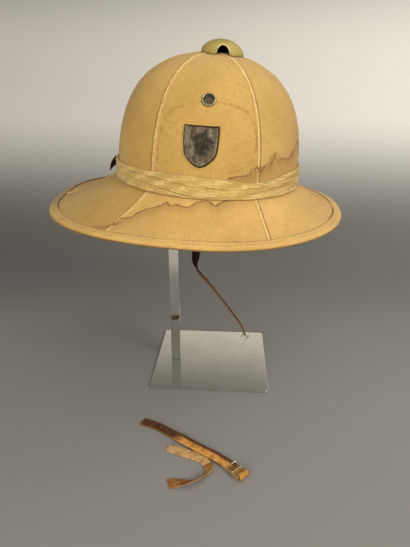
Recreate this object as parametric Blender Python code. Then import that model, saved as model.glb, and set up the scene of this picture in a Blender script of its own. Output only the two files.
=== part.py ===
"""Cloth-covered pith helmet on a mirror-polished plate and post, with its broken chin strap.

Metres, +Z up. The origin is the centre of the base plate's underside, and the helmet's front faces -X.
The helmet's own pieces are modelled about the centre of the crown's base, and one tilted empty carries them.
"""

import math

import bmesh
import bpy
import numpy as np
from mathutils import Matrix, Vector

# Clearance between pieces that touch, and from the flat facets of the crown's inner face
SEAT_GAP = 0.0003
FACET_GAP = 0.0007

# Stand: a square plate, a flat bar and a curved rest under the crown's ceiling
PLATE_SIDE = 0.150
PLATE_THICKNESS = 0.003
PLATE_CORNER = 0.004
POST_X = -0.049
POST_Y = -0.006
POST_WIDTH = 0.0125
POST_DEPTH = 0.006
REST_THICKNESS = 0.004
REST_END_X = 0.036
REST_OVERHANG = 0.003

# Where the helmet sits on the stand: its front is up and its near side is down
HELMET_X = -0.0065
HELMET_Z = 0.2570
HELMET_PITCH = math.radians(3.5)
HELMET_ROLL = math.radians(4.0)

# Crown: a six-gore dome of pith under cloth, with a vent hole at its top
CROWN_HALF_LENGTH = 0.1055
CROWN_HALF_WIDTH = 0.094
CROWN_HEIGHT = 0.1348
CROWN_WAIST_POWER = 0.85
CROWN_DOME_POWER = 0.74
CROWN_WALL = 0.005
VENT_HOLE_RADIUS = 0.008
SEAM_ANGLES = (0.0, 58.0, 120.0, 180.0, 240.0, 302.0)
SEAM_HALF_ANGLE = 1.2
SEAM_RIDGE = 0.0005

# Brim: longer at the front, and a superellipse seen from above
BRIM_FRONT = 0.182
BRIM_REAR = 0.160
BRIM_HALF_WIDTH = 0.138
BRIM_FULLNESS_FRONT = 2.5
BRIM_FULLNESS_REAR = 2.2
BRIM_DROP_FRONT = 0.0365
BRIM_DROP_SIDE = 0.0355
BRIM_DROP_REAR = 0.0255
BRIM_END_POWER = 1.5
BRIM_FLARE = 0.45
BRIM_WALL = 0.0038
BRIM_SEAM_END = 0.8

# Cloth binding folded round the brim's edge
BINDING_WIDTH = 0.009
BINDING_WALL = 0.0010

# Hatband: one cloth band with two slanting folds
BAND_HEIGHT = 0.022
BAND_WALL = 0.0012
BAND_FOLD = 0.0011
BAND_FOLD_EDGE = 0.02

# Ventilator cap on the crown, with half-round openings at its rim
VENT_X = 0.0085
VENT_RADIUS = 0.0232
VENT_HEIGHT = 0.0135
VENT_WALL = 0.0010
VENT_OPENINGS = 3
VENT_TURN = math.radians(4.0)
VENT_OPENING_WIDTH = 0.0148
VENT_OPENING_HEIGHT = 0.0086

# Side eyelets with wire mesh
EYELET_X = 0.0009
EYELET_HEIGHT = 0.0942
EYELET_FLANGE_RADIUS = 0.0072
EYELET_BARREL_RADIUS = 0.0060
EYELET_HOLE_RADIUS = 0.0052
EYELET_FLANGE = 0.0010
MESH_THICKNESS = 0.0008
MESH_DEPTH = 0.0007

# Shield badge on the near side
BADGE_X = -0.0037
BADGE_Z = 0.0515
BADGE_WIDTH = 0.0356
BADGE_HEIGHT = 0.0408
BADGE_WALL = 0.0012
BADGE_RIM = 0.0005
BADGE_RIM_WIDTH = 0.0014

# Chin strap leather
STRAP_WIDTH = 0.0120
STRAP_THICKNESS = 0.0017

# Stretch that hangs from the crown's inner wall, down to its brass ring
HANGING_X = -0.004
HANGING_DROP = 0.1765
HANGING_DRIFT = 0.053
HANGING_TIP_WIDTH = 0.0046
HANGING_HOLE_RADIUS = 0.0014
HANGING_HOLE_INSET = 0.0034
RING_RADIUS = 0.0038
RING_WIRE = 0.0007

# Stretch left across the front of the crown, sewn on at the far side
FRONT_STRAP_START = 112.0
FRONT_STRAP_END = 188.0
FRONT_STRAP_HEIGHT = 0.0115
FRONT_STRAP_STAND_OFF = 0.0016

# Stretch on the ground, folded round the end bar of its buckle
FRAGMENT_X = 0.0357
FRAGMENT_Y = -0.2076
FRAGMENT_LENGTH = 0.1239
FRAGMENT_RETURN = 0.0240
BUCKLE_LENGTH = 0.0187
BUCKLE_WIDTH = 0.0152
BUCKLE_BAR = 0.0013
BUCKLE_HEIGHT = 0.0012
BUCKLE_TURN = math.radians(-46.0)

# Torn strip beside it, curled like a hook
TORN_REACH = 0.0720
TORN_WIDTH = 0.0116

# Lower fold, upper fold and top edge of the hatband: degrees round the crown, and shares of its height
BAND_FOLDS = (
    # degrees, lower, upper, top
    (0.0, 0.60, 0.88, 1.05),
    (45.0, 0.30, 0.66, 1.00),
    (90.0, 0.22, 0.60, 1.00),
    (135.0, 0.42, 0.78, 1.00),
    (180.0, 0.52, 0.78, 0.94),
    (215.0, 0.52, 0.76, 0.90),
    (240.0, 0.42, 0.78, 0.99),
    (260.0, 0.14, 0.62, 1.03),
    (285.0, 0.14, 0.52, 0.91),
    (302.0, 0.34, 0.58, 0.75),
    (330.0, 0.64, 0.86, 1.03),
)

# Right side of the shield from its top corner to its point, and its nearly level top edge
BADGE_OUTLINE = (
    # across, up
    (0.98, 1.00),
    (1.00, 0.60),
    (0.99, 0.25),
    (0.96, -0.08),
    (0.92, -0.32),
    (0.81, -0.52),
    (0.62, -0.71),
    (0.36, -0.89),
    (0.16, -0.97),
    (0.00, -1.00),
)
BADGE_TOP = ((-0.6, 0.987), (-0.2, 0.981), (0.2, 0.981), (0.6, 0.987))

# Hanging strap: shares of its drop and of its drift to the rear, and its turn about its own length
HANGING_ROWS = (
    # drop, drift, inward shift (share of drift), turn in degrees
    (0.000, 0.000, 0.000, 0.0),
    (0.080, -0.002, 0.010, 0.0),
    (0.180, -0.010, 0.030, -8.0),
    (0.310, -0.035, 0.045, -24.0),
    (0.430, -0.070, 0.050, -40.0),
    (0.480, -0.092, 0.050, -54.0),
    (0.515, -0.074, 0.050, -66.0),
    (0.545, -0.028, 0.050, -78.0),
    (0.590, 0.092, 0.050, -84.0),
    (0.635, 0.220, 0.050, -82.0),
    (0.720, 0.435, 0.050, -79.0),
    (0.810, 0.655, 0.050, -78.0),
    (0.900, 0.868, 0.050, -79.0),
    (0.950, 0.955, 0.050, -81.0),
    (1.000, 1.005, 0.050, -84.0),
)

# Front strap: share of its way round, height as a share, stand-off as a share, and lean in degrees
FRONT_ROWS = (
    # way, height, stand-off, lean
    (0.00, 0.90, 0.00, 0.0),
    (0.25, 0.96, 0.00, 0.0),
    (0.50, 1.00, 0.04, 1.0),
    (0.72, 0.96, 0.20, 5.0),
    (0.88, 0.84, 0.60, 13.0),
    (1.00, 0.64, 1.00, 21.0),
)

# Strap on the ground: shares of its length behind the buckle and aside of the buckle's line, and its lift
FRAGMENT_ROWS = (
    # behind, aside, lift (0 on the ground, 1 above the layer below it)
    (1.000, -0.236, 0.00),
    (0.862, -0.174, 0.00),
    (0.776, -0.150, 0.00),
    (0.685, -0.130, 0.30),
    (0.606, -0.115, 0.85),
    (0.500, -0.094, 1.05),
    (0.373, -0.062, 1.00),
    (0.232, -0.025, 1.00),
    (0.110, -0.004, 1.00),
)

# Strap round the end bar: distance behind the bar in radii of the wrap, and share of the wrap's height
WRAP_ROWS = (
    # behind, level
    (4.60, 0.364),
    (3.00, 0.413),
    (1.70, 0.786),
    (0.80, 1.000),
    (-0.30, 1.031),
    (-1.25, 0.753),
    (-1.35, 0.360),
    (-0.70, 0.082),
    (0.60, 0.000),
    (3.00, 0.000),
)

# Torn strip: shares of its reach behind the buckle and aside, its width, and its turn in degrees
TORN_ROWS = (
    # behind, aside, width, turn
    (1.000, -0.444, 0.74, 0.0),
    (0.905, -0.392, 1.00, 0.0),
    (0.790, -0.340, 1.04, 0.0),
    (0.685, -0.288, 1.02, 0.0),
    (0.575, -0.236, 0.98, 0.0),
    (0.465, -0.208, 0.88, 0.0),
    (0.365, -0.222, 0.84, 5.0),
    (0.282, -0.260, 0.88, 28.0),
    (0.228, -0.325, 0.94, 42.0),
    (0.207, -0.414, 0.94, 47.0),
    (0.208, -0.500, 0.94, 49.0),
    (0.222, -0.575, 0.94, 45.0),
    (0.266, -0.640, 0.94, 30.0),
    (0.330, -0.700, 0.96, 12.0),
    (0.393, -0.765, 0.98, 2.0),
    (0.448, -0.831, 1.00, 0.0),
)

# Mesh resolution
GORE_STEPS = 7
CROWN_ROWS = 13
CEILING_ROWS = 13
BRIM_ROWS = 7
BRIM_UNDER_ROWS = 5
NOSE_STEPS = 5
VENT_ROWS = 6
VENT_INNER_ROWS = 4
ROUND_STEPS = 20
RING_STEPS = 16
WIRE_STEPS = 6


def clear_scene():
    """Remove every object of the scene."""
    for thing in list(bpy.data.objects):
        bpy.data.objects.remove(thing, do_unlink=True)


def make_material(name, colour, roughness, metallic=0.0):
    """A Principled material of one colour."""
    material = bpy.data.materials.new(name)
    material.use_nodes = True
    shader = material.node_tree.nodes["Principled BSDF"]
    shader.inputs["Base Color"].default_value = (*colour, 1.0)
    shader.inputs["Roughness"].default_value = roughness
    shader.inputs["Metallic"].default_value = metallic
    return material


def helmet_matrix():
    """Turn and shift from the helmet's own frame to the world."""
    pitch = Matrix.Rotation(HELMET_PITCH, 4, "Y")
    roll = Matrix.Rotation(HELMET_ROLL, 4, "X")
    return Matrix.Translation((HELMET_X, 0.0, HELMET_Z)) @ pitch @ roll


def moved(points, matrix):
    """The array of points moved by the matrix."""
    turn = np.array(matrix.to_3x3())
    return np.asarray(points) @ turn.T + np.array(matrix.translation)


def add_solid(name, points, faces, material, parent=None, sharp_degrees=35.0):
    """One closed body from points and faces, with coincident points merged and its faces turned out."""
    work = bmesh.new()
    corners = [work.verts.new(point) for point in points]
    for face in faces:
        work.faces.new([corners[index] for index in face])
    bmesh.ops.remove_doubles(work, verts=work.verts, dist=1e-7)
    bmesh.ops.delete(work, geom=[edge for edge in work.edges if not edge.link_faces], context="EDGES")
    bmesh.ops.recalc_face_normals(work, faces=work.faces)
    mesh = bpy.data.meshes.new(name)
    work.to_mesh(mesh)
    work.free()
    mesh.shade_smooth()
    mesh.set_sharp_from_angle(angle=math.radians(sharp_degrees))
    mesh.materials.append(material)
    solid = bpy.data.objects.new(name, mesh)
    bpy.context.scene.collection.objects.link(solid)
    solid.parent = parent
    return solid


def side_faces(count, size, closed):
    """Quads between neighbouring sections, and between the last and the first if the body closes on itself."""
    faces = []
    for i in range(count if closed else count - 1):
        here, there = i * size, (i + 1) % count * size
        for j in range(size):
            following = (j + 1) % size
            faces.append((here + j, there + j, there + following, here + following))
    return faces


def add_ring(name, sections, material, parent=None, sharp_degrees=35.0):
    """A body whose sections, an array of (section, point, xyz), follow one another round to the first."""
    count, size, _ = sections.shape
    faces = side_faces(count, size, closed=True)
    return add_solid(name, sections.reshape(-1, 3), faces, material, parent, sharp_degrees)


def add_bar(name, sections, material, parent=None, sharp_degrees=35.0):
    """A body whose sections run from one flat end to the other."""
    count, size, _ = sections.shape
    faces = side_faces(count, size, closed=False)
    faces += [tuple(range(size)), tuple((count - 1) * size + j for j in range(size))]
    return add_solid(name, sections.reshape(-1, 3), faces, material, parent, sharp_degrees)


def smooth_rows(rows, count):
    """Rows read evenly from a Catmull-Rom curve through the given ones."""
    rows = np.array(rows, float)
    at = np.linspace(0.0, len(rows) - 1, count)
    low = np.minimum(at.astype(int), len(rows) - 2)
    share = (at - low)[:, None]
    before, start = rows[np.maximum(low - 1, 0)], rows[low]
    end, after = rows[low + 1], rows[np.minimum(low + 2, len(rows) - 1)]
    slope, bend = end - before, 2 * before - 5 * start + 4 * end - after
    twist = 3 * start - before - 3 * end + after
    return start + 0.5 * share * (slope + share * (bend + share * twist))


def unit(vectors):
    """The vectors at length one."""
    return vectors / np.linalg.norm(vectors, axis=-1, keepdims=True)


def strap_sections(centres, sides, widths, thickness):
    """Rectangular sections with small chamfers, across a path whose sides say where the width points."""
    along = unit(np.gradient(centres, axis=0))
    sides = unit(sides - along * (sides * along).sum(axis=1, keepdims=True))
    faces = np.cross(along, sides)
    chamfer = 0.25 * thickness
    half, deep = np.asarray(widths) / 2 * np.ones(len(centres)), thickness / 2
    corners = (
        (half, deep - chamfer),
        (half - chamfer, deep),
        (chamfer - half, deep),
        (-half, deep - chamfer),
        (-half, chamfer - deep),
        (chamfer - half, -deep),
        (half - chamfer, -deep),
        (half, chamfer - deep),
    )
    return np.stack([centres + sides * np.reshape(w, (-1, 1)) + faces * h for w, h in corners], axis=1)


def dome_spread(heights, grow=0.0):
    """Share of the base's size that the crown still has at these heights."""
    share = np.clip(np.asarray(heights) / (CROWN_HEIGHT + grow), 0.0, 1.0)
    turn = np.arcsin(share ** (1 / CROWN_DOME_POWER))
    return np.cos(turn) ** CROWN_WAIST_POWER


def dome_points(angles, turns, grow=0.0):
    """The crown's surface, grown outwards: turns go from 0 at the base to a right angle at the top."""
    spread = np.cos(turns) ** CROWN_WAIST_POWER
    x = (CROWN_HALF_LENGTH + grow) * spread * np.cos(angles)
    y = (CROWN_HALF_WIDTH + grow) * spread * np.sin(angles)
    z = (CROWN_HEIGHT + grow) * np.sin(turns) ** CROWN_DOME_POWER
    return np.stack(np.broadcast_arrays(x, y, z), axis=-1)


def dome_ring(angles, heights, grow=0.0):
    """The crown's surface, grown outwards, at given heights."""
    spread = dome_spread(heights, grow)
    x = (CROWN_HALF_LENGTH + grow) * spread * np.cos(angles)
    y = (CROWN_HALF_WIDTH + grow) * spread * np.sin(angles)
    return np.stack(np.broadcast_arrays(x, y, heights), axis=-1)


def onto_dome(points, direction, grow=0.0):
    """Points slid along a direction, which leads out of the crown, until they lie on its grown surface."""
    points, direction = np.asarray(points, float), np.asarray(direction, float)
    low = np.full(points.shape[:-1], -CROWN_HALF_LENGTH)
    high = np.full(points.shape[:-1], CROWN_HALF_LENGTH + CROWN_HEIGHT)
    for _ in range(50):
        middle = (low + high) / 2
        at = points + middle[..., None] * direction
        spread = np.hypot(at[..., 0] / (CROWN_HALF_LENGTH + grow), at[..., 1] / (CROWN_HALF_WIDTH + grow))
        outside = (spread > dome_spread(at[..., 2], grow)) | (at[..., 2] > CROWN_HEIGHT + grow)
        low, high = np.where(outside, low, middle), np.where(outside, middle, high)
    return points + low[..., None] * direction


def dome_frame(x, z, side):
    """Matrix at the crown's surface, on its near or far side: X along the crown, Z straight out of it."""
    out = Vector((0.0, side, 0.0))
    at = onto_dome((x, 0.0, z), out)
    step = 0.001
    ahead = onto_dome((x + step, 0.0, z), out) - onto_dome((x - step, 0.0, z), out)
    above = onto_dome((x, 0.0, z + step), out) - onto_dome((x, 0.0, z - step), out)
    along = Vector(ahead).normalized() * -side
    normal = along.cross(Vector(above)).normalized()
    up = normal.cross(along)
    turn = Matrix((along, up, normal)).transposed().to_4x4()
    return Matrix.Translation(at) @ turn


def hole_turn(half_length):
    """Turn at which a dome of this half length has narrowed to the vent hole."""
    return math.acos((VENT_HOLE_RADIUS / half_length) ** (1 / CROWN_WAIST_POWER))


def gore_columns():
    """Angles of the crown's and brim's columns, three of them at each seam, and 1.0 where a seam lies."""
    angles, ridges = [], []
    for seam, following in zip(SEAM_ANGLES, SEAM_ANGLES[1:] + (SEAM_ANGLES[0] + 360.0,)):
        angles += [seam - SEAM_HALF_ANGLE, seam]
        ridges += [0.0, 1.0]
        between = np.linspace(seam + SEAM_HALF_ANGLE, following - SEAM_HALF_ANGLE, GORE_STEPS + 2)
        angles += list(between[:-1])
        ridges += [0.0] * (GORE_STEPS + 1)
    return np.radians(angles)[:, None], np.array(ridges)[:, None]


def brim_top(angles, shares):
    """The brim's upper surface, from 0 at the crown's foot to 1 at its superelliptical edge."""
    cosine, sine = np.cos(angles), np.sin(angles)
    rear = cosine > 0
    power = 2 / np.where(rear, BRIM_FULLNESS_REAR, BRIM_FULLNESS_FRONT)
    lengthwise = np.sign(cosine) * np.abs(cosine) ** power
    edge_x = np.where(rear, BRIM_REAR, BRIM_FRONT) * lengthwise
    edge_y = BRIM_HALF_WIDTH * np.sign(sine) * np.abs(sine) ** power
    foot_x, foot_y = CROWN_HALF_LENGTH * cosine, CROWN_HALF_WIDTH * sine
    ends = np.abs(lengthwise) ** BRIM_END_POWER
    end_drop = np.where(rear, BRIM_DROP_REAR, BRIM_DROP_FRONT)
    drop = end_drop * ends + BRIM_DROP_SIDE * (1 - ends)
    x = foot_x + (edge_x - foot_x) * shares
    y = foot_y + (edge_y - foot_y) * shares
    z = -SEAT_GAP - drop * shares * (1 + BRIM_FLARE * (1 - shares))
    return np.stack(np.broadcast_arrays(x, y, z), axis=-1)


def brim_directions(angles, shares):
    """Unit vectors on the brim: outwards along its slope, and out of its upper surface."""
    step = 0.01
    outwards = unit(brim_top(angles, shares + step) - brim_top(angles, shares - step))
    around = unit(brim_top(angles + step, shares) - brim_top(angles - step, shares))
    return outwards, unit(np.cross(outwards, around))


def add_stand(material):
    """The square plate, and the bar with the curved rest that the helmet sits on."""
    half, corner = PLATE_SIDE / 2, PLATE_CORNER
    outline = []
    for turn in range(4):
        start = math.pi / 2 * turn
        centre = Vector((half - corner, half - corner))
        centre.rotate(Matrix.Rotation(start, 2))
        for angle in np.linspace(start, start + math.pi / 2, 5):
            outline.append((centre.x + corner * math.cos(angle), centre.y + corner * math.sin(angle)))
    sections = np.array([[(x, y, z) for x, y in outline] for z in (0.0, PLATE_THICKNESS)])
    add_bar("stand_plate", sections, material)

    to_world = helmet_matrix()
    to_helmet = to_world.inverted()
    lowered = -(CROWN_WALL + FACET_GAP + REST_THICKNESS / 2)
    start_x = POST_X - POST_WIDTH / 2 - REST_OVERHANG
    guess = to_helmet @ Vector((POST_X, POST_Y, HELMET_Z + CROWN_HEIGHT - CROWN_WALL))
    line = np.linspace(start_x - HELMET_X, REST_END_X - HELMET_X, 14)
    under = np.stack([line, np.full_like(line, guess.y), np.zeros_like(line)], axis=1)
    rest = moved(onto_dome(under, (0.0, 0.0, 1.0), lowered), to_world)
    side = np.array(to_world.to_3x3() @ Vector((0.0, 1.0, 0.0)))
    rest_sections = strap_sections(rest, np.tile(side, (len(rest), 1)), POST_WIDTH, REST_THICKNESS)
    post = []
    for x, y in ((-1, -1), (1, -1), (1, 1), (-1, 1)):
        corner_x = POST_X + x * POST_WIDTH / 2
        corner_y = POST_Y + y * POST_DEPTH / 2
        post.append((corner_x, corner_y, float(np.interp(corner_x, rest[:, 0], rest[:, 2]))))
    foot = [(x, y, PLATE_THICKNESS + SEAT_GAP) for x, y, _ in post]
    bar = add_bar("stand_post", np.array([foot, post]), material)
    cradle = add_bar("stand_rest", rest_sections, material)
    cradle.hide_render = True
    cradle.display_type = "WIRE"
    join = bar.modifiers.new("rest", "BOOLEAN")
    join.operation = "UNION"
    join.object = cradle


def add_crown(material, parent):
    """The crown's shell: a thin wall between two domes, open at its foot and at the vent hole."""
    angles, ridges = gore_columns()
    outer_turns = np.linspace(0.0, hole_turn(CROWN_HALF_LENGTH), CROWN_ROWS)
    inner_turns = np.linspace(hole_turn(CROWN_HALF_LENGTH - CROWN_WALL), 0.0, CEILING_ROWS)
    outer = dome_points(angles, outer_turns, SEAM_RIDGE * ridges)
    inner = dome_points(angles, inner_turns, -CROWN_WALL)
    crown = add_ring("crown", np.concatenate([outer, inner], axis=1), material, parent)
    for side, place in ((-1, "near"), (1, "far")):
        cutter = add_turned(
            f"eyelet_cutter_{place}",
            ((0.0, -4 * CROWN_WALL), (EYELET_BARREL_RADIUS + SEAT_GAP, -4 * CROWN_WALL),
             (EYELET_BARREL_RADIUS + SEAT_GAP, 4 * CROWN_WALL), (0.0, 4 * CROWN_WALL)),
            material, dome_frame(EYELET_X, EYELET_HEIGHT, side), parent,
        )
        cutter.hide_render = True
        cutter.display_type = "WIRE"
        hole = crown.modifiers.new(f"eyelet_{place}", "BOOLEAN")
        hole.operation = "DIFFERENCE"
        hole.object = cutter


def add_turned(name, profile, material, matrix, parent=None):
    """A round body: a profile of (radius, height) turned about the Z axis of the matrix."""
    turns = np.linspace(0.0, 2 * math.pi, ROUND_STEPS, endpoint=False)[:, None]
    radii, heights = np.array(profile).T
    local = np.stack(
        np.broadcast_arrays(radii * np.cos(turns), radii * np.sin(turns), heights), axis=-1
    )
    return add_ring(name, moved(local, matrix), material, parent)


def add_brim(material, parent):
    """The brim's sheet, with a root as wide as the crown's wall."""
    angles, ridges = gore_columns()
    top_shares = np.linspace(0.0, 1.0, BRIM_ROWS)[None, :]
    under_shares = np.linspace(1.0, 0.0, BRIM_UNDER_ROWS)[None, :]
    _, normals = brim_directions(angles, np.maximum(top_shares, 0.02))
    top = brim_top(angles, top_shares)
    fade = np.sin(math.pi * np.minimum(top_shares / BRIM_SEAM_END, 1.0))
    top += normals * (SEAM_RIDGE * ridges * fade)[..., None]
    _, under_normals = brim_directions(angles, np.maximum(under_shares, 0.02))
    under = brim_top(angles, under_shares) - BRIM_WALL * under_normals
    root = dome_points(angles, np.zeros(1), -CROWN_WALL)
    root[..., 2] = -SEAT_GAP
    add_ring("brim", np.concatenate([top, under[:, :-1], root], axis=1), material, parent)


def add_binding(material, parent):
    """The cloth channel round the brim's edge: flat on both faces, and half round at the nose."""
    angles, _ = gore_columns()
    edge, foot = brim_top(angles, np.ones((1, 1))), brim_top(angles, np.zeros((1, 1)))
    back_shares = 1 - BINDING_WIDTH / np.linalg.norm(edge - foot, axis=-1)
    outwards, normals = brim_directions(angles, np.ones((1, 1)))
    _, back_normals = brim_directions(angles, back_shares)
    middle = edge - normals * BRIM_WALL / 2
    back = brim_top(angles, back_shares) - back_normals * BRIM_WALL / 2
    inner = BRIM_WALL / 2 + SEAT_GAP
    outer = inner + BINDING_WALL
    nose = [
        middle + outwards * (SEAT_GAP + outer * math.cos(turn)) + normals * outer * math.sin(turn)
        for turn in np.linspace(math.pi / 2, -math.pi / 2, NOSE_STEPS)
    ]
    channel = [middle + outwards * SEAT_GAP - normals * inner, middle + outwards * SEAT_GAP + normals * inner]
    lower_back = [back - back_normals * outer, back - back_normals * inner]
    upper_back = [back + back_normals * inner, back + back_normals * outer]
    sections = np.concatenate([*nose, *lower_back, *channel, *upper_back], axis=1)
    add_ring("brim_binding", sections, material, parent)


def add_hatband(material, parent):
    """The folded band: each fold hangs over the one below it, so its wall swells towards its lower edge."""
    angles, _ = gore_columns()
    table = np.array(BAND_FOLDS)
    degrees = np.degrees(angles[:, 0]) % 360.0
    lower, upper, top = (
        np.interp(degrees, table[:, 0], table[:, column], period=360.0) for column in (1, 2, 3)
    )
    start = SEAT_GAP + SEAM_RIDGE
    thin, thick = start + BAND_WALL, start + BAND_WALL + BAND_FOLD
    rows = (
        (0.0 * lower, thick),
        (lower - BAND_FOLD_EDGE, thin),
        (lower, thick),
        (upper - BAND_FOLD_EDGE, thin),
        (upper, thick),
        (top, thin),
        (top, start),
        (0.5 * top, start),
    )
    sections = [dome_ring(angles[:, 0], heights * BAND_HEIGHT, depth) for heights, depth in rows]
    foot = dome_points(angles[:, 0], np.zeros(1), start)
    foot[..., 2] = SEAT_GAP
    sections.append(foot)
    edge = brim_top(angles, np.zeros((1, 1)))[:, 0], brim_top(angles, np.ones((1, 1)))[:, 0]
    reach = np.linalg.norm((edge[1] - edge[0])[:, :2], axis=1)
    below = brim_top(angles, (thick / reach)[:, None])[:, 0]
    sections[0][:, 2] = np.minimum(below[:, 2] + 2 * SEAT_GAP, 0.0)
    add_ring("hatband", np.stack(sections, axis=1), material, parent)


def vent_columns():
    """Angles round the ventilator, closer together at its openings, and the openings' height there."""
    half = math.asin(VENT_OPENING_WIDTH / 2 / VENT_RADIUS)
    angles, heights = [], []
    for copy in range(VENT_OPENINGS):
        centre = VENT_TURN - math.pi / 2 + 2 * math.pi * copy / VENT_OPENINGS
        for share in (-1.0, -0.85, -0.5, 0.0, 0.5, 0.85, 1.0):
            angles.append(centre + half * share)
            heights.append(VENT_OPENING_HEIGHT * math.sqrt(1 - share**2))
        gap = 2 * math.pi / VENT_OPENINGS - 2 * half
        for share in (0.25, 0.5, 0.75):
            angles.append(centre + half + gap * share)
            heights.append(0.0)
    return np.array(angles)[:, None], np.array(heights)[:, None]


def vent_surface(angles, floors, rows, inset):
    """The ventilator's elliptical dome, from the height of its openings up to its top."""
    radius, height = VENT_RADIUS - inset, VENT_HEIGHT - inset
    first = np.arcsin(floors / height)
    turns = first + (math.pi / 2 - first) * np.linspace(0.0, 1.0, rows)
    spread = np.cos(turns)
    spread[:, -1] = 0.0
    x = VENT_X + radius * spread * np.cos(angles)
    y = radius * spread * np.sin(angles)
    ground = onto_dome(np.stack([x, y, np.zeros_like(x)], axis=-1), (0.0, 0.0, 1.0), SEAT_GAP + SEAM_RIDGE)
    z = ground[..., 2] + height * np.sin(turns)
    return np.stack([x, y, z], axis=-1)


def add_vent(material, parent):
    """The domed ventilator cap, a thin shell whose rim follows the crown."""
    angles, floors = vent_columns()
    outer = vent_surface(angles, floors, VENT_ROWS, 0.0)
    inner = vent_surface(angles, floors, VENT_INNER_ROWS, VENT_WALL)[:, ::-1]
    add_ring("vent_cap", np.concatenate([outer, inner], axis=1), material, parent)


def add_eyelets(brass, wire, parent):
    """A brass eyelet through each side of the crown, with a disc of wire mesh in it."""
    back = -(CROWN_WALL + FACET_GAP + SEAT_GAP)
    profile = (
        (EYELET_HOLE_RADIUS, SEAT_GAP + EYELET_FLANGE),
        (EYELET_FLANGE_RADIUS - 0.6 * EYELET_FLANGE, SEAT_GAP + EYELET_FLANGE),
        (EYELET_FLANGE_RADIUS, SEAT_GAP + 0.4 * EYELET_FLANGE),
        (EYELET_FLANGE_RADIUS, SEAT_GAP),
        (EYELET_BARREL_RADIUS, SEAT_GAP),
        (EYELET_BARREL_RADIUS, back),
        (EYELET_FLANGE_RADIUS, back),
        (EYELET_FLANGE_RADIUS, back - EYELET_FLANGE),
        (EYELET_HOLE_RADIUS, back - EYELET_FLANGE),
    )
    radius = EYELET_HOLE_RADIUS - SEAT_GAP
    disc = ((0.0, -MESH_DEPTH), (radius, -MESH_DEPTH),
            (radius, -MESH_DEPTH - MESH_THICKNESS), (0.0, -MESH_DEPTH - MESH_THICKNESS))
    for side, place in ((-1, "near"), (1, "far")):
        frame = dome_frame(EYELET_X, EYELET_HEIGHT, side)
        add_turned(f"eyelet_{place}", profile, brass, frame, parent)
        add_turned(f"eyelet_mesh_{place}", disc, wire, frame, parent)


def shield_outline():
    """Points round the shield, as shares of its half width and half height from its middle."""
    left = [(-across, level) for across, level in BADGE_OUTLINE[-2::-1]]
    return np.array(list(BADGE_OUTLINE) + left + list(BADGE_TOP))


def add_badge(material, parent):
    """The shield badge: a thin plate bent to the crown, slightly domed inside a raised rim."""
    outline = shield_outline() * (BADGE_WIDTH / 2, BADGE_HEIGHT / 2)
    frame = dome_frame(BADGE_X, BADGE_Z, -1)
    inner = 1 - 2 * BADGE_RIM_WIDTH / BADGE_WIDTH
    face = SEAT_GAP + BADGE_WALL
    rows = (
        (0.0, SEAT_GAP), (0.35, SEAT_GAP), (0.7, SEAT_GAP), (1.0, SEAT_GAP),
        (1.0, face + BADGE_RIM), (inner, face + BADGE_RIM), (inner - 0.03, face),
        (0.5, face + 0.6 * BADGE_RIM), (0.0, face + 0.8 * BADGE_RIM),
    )
    out = np.array(frame.to_3x3() @ Vector((0.0, 0.0, 1.0)))
    sections = []
    for scale, height in rows:
        flat = np.concatenate([outline * scale, np.zeros((len(outline), 1))], axis=1)
        sections.append(onto_dome(moved(flat, frame), out) + out * height)
    add_ring("badge_shield", np.stack(sections, axis=1), material, parent)


def add_hanging_strap(leather, brass):
    """The strap sewn inside the crown's near wall, hanging and turning down to its brass ring."""
    to_world = helmet_matrix()
    plumb = STRAP_WIDTH * math.sin(HELMET_ROLL)
    inset = -(CROWN_WALL + FACET_GAP + STRAP_THICKNESS / 2 + plumb)
    top = to_world @ Vector(onto_dome((HANGING_X, 0.0, STRAP_WIDTH), (0.0, -1.0, 0.0), inset))
    rows = smooth_rows(HANGING_ROWS, 26)
    centres = np.array(top) + np.stack(
        [rows[:, 1] * HANGING_DRIFT, rows[:, 2] * HANGING_DRIFT, -rows[:, 0] * HANGING_DROP], axis=1
    )
    turns = np.radians(rows[:, 3])
    sides = np.stack([np.cos(turns), np.sin(turns), np.zeros_like(turns)], axis=1)
    to_end = (1.0 - rows[:, 0]) * HANGING_DROP
    narrowing = np.clip(to_end / STRAP_WIDTH, 0.0, 1.0)
    widths = HANGING_TIP_WIDTH + (STRAP_WIDTH - HANGING_TIP_WIDTH) * narrowing
    strap = add_bar("strap_hanging", strap_sections(centres, sides, widths, STRAP_THICKNESS), leather)
    along = Vector(centres[-1] - centres[-2]).normalized()
    side = Vector(sides[-1])
    side = (side - along * side.dot(along)).normalized()
    across = along.cross(side)
    hole = Vector(centres[-1]) - along * HANGING_HOLE_INSET
    turn = Matrix((side, along, across)).transposed().to_4x4()
    length = 2 * STRAP_THICKNESS
    cutter = add_turned(
        "strap_hole_cutter",
        ((0.0, -length), (HANGING_HOLE_RADIUS, -length), (HANGING_HOLE_RADIUS, length), (0.0, length)),
        leather, Matrix.Translation(hole) @ turn,
    )
    cutter.hide_render = True
    cutter.display_type = "WIRE"
    cut = strap.modifiers.new("ring_hole", "BOOLEAN")
    cut.operation = "DIFFERENCE"
    cut.object = cutter
    around = np.linspace(0.0, 2 * math.pi, RING_STEPS, endpoint=False)[:, None]
    wire = np.linspace(0.0, 2 * math.pi, WIRE_STEPS, endpoint=False)[None, :]
    radius = RING_RADIUS + RING_WIRE * np.cos(wire)
    local = np.stack(
        np.broadcast_arrays(
            RING_WIRE * np.sin(wire), RING_RADIUS + radius * np.cos(around), radius * np.sin(around)
        ),
        axis=-1,
    )
    add_ring("strap_ring", moved(local, Matrix.Translation(hole) @ turn), brass)


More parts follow.
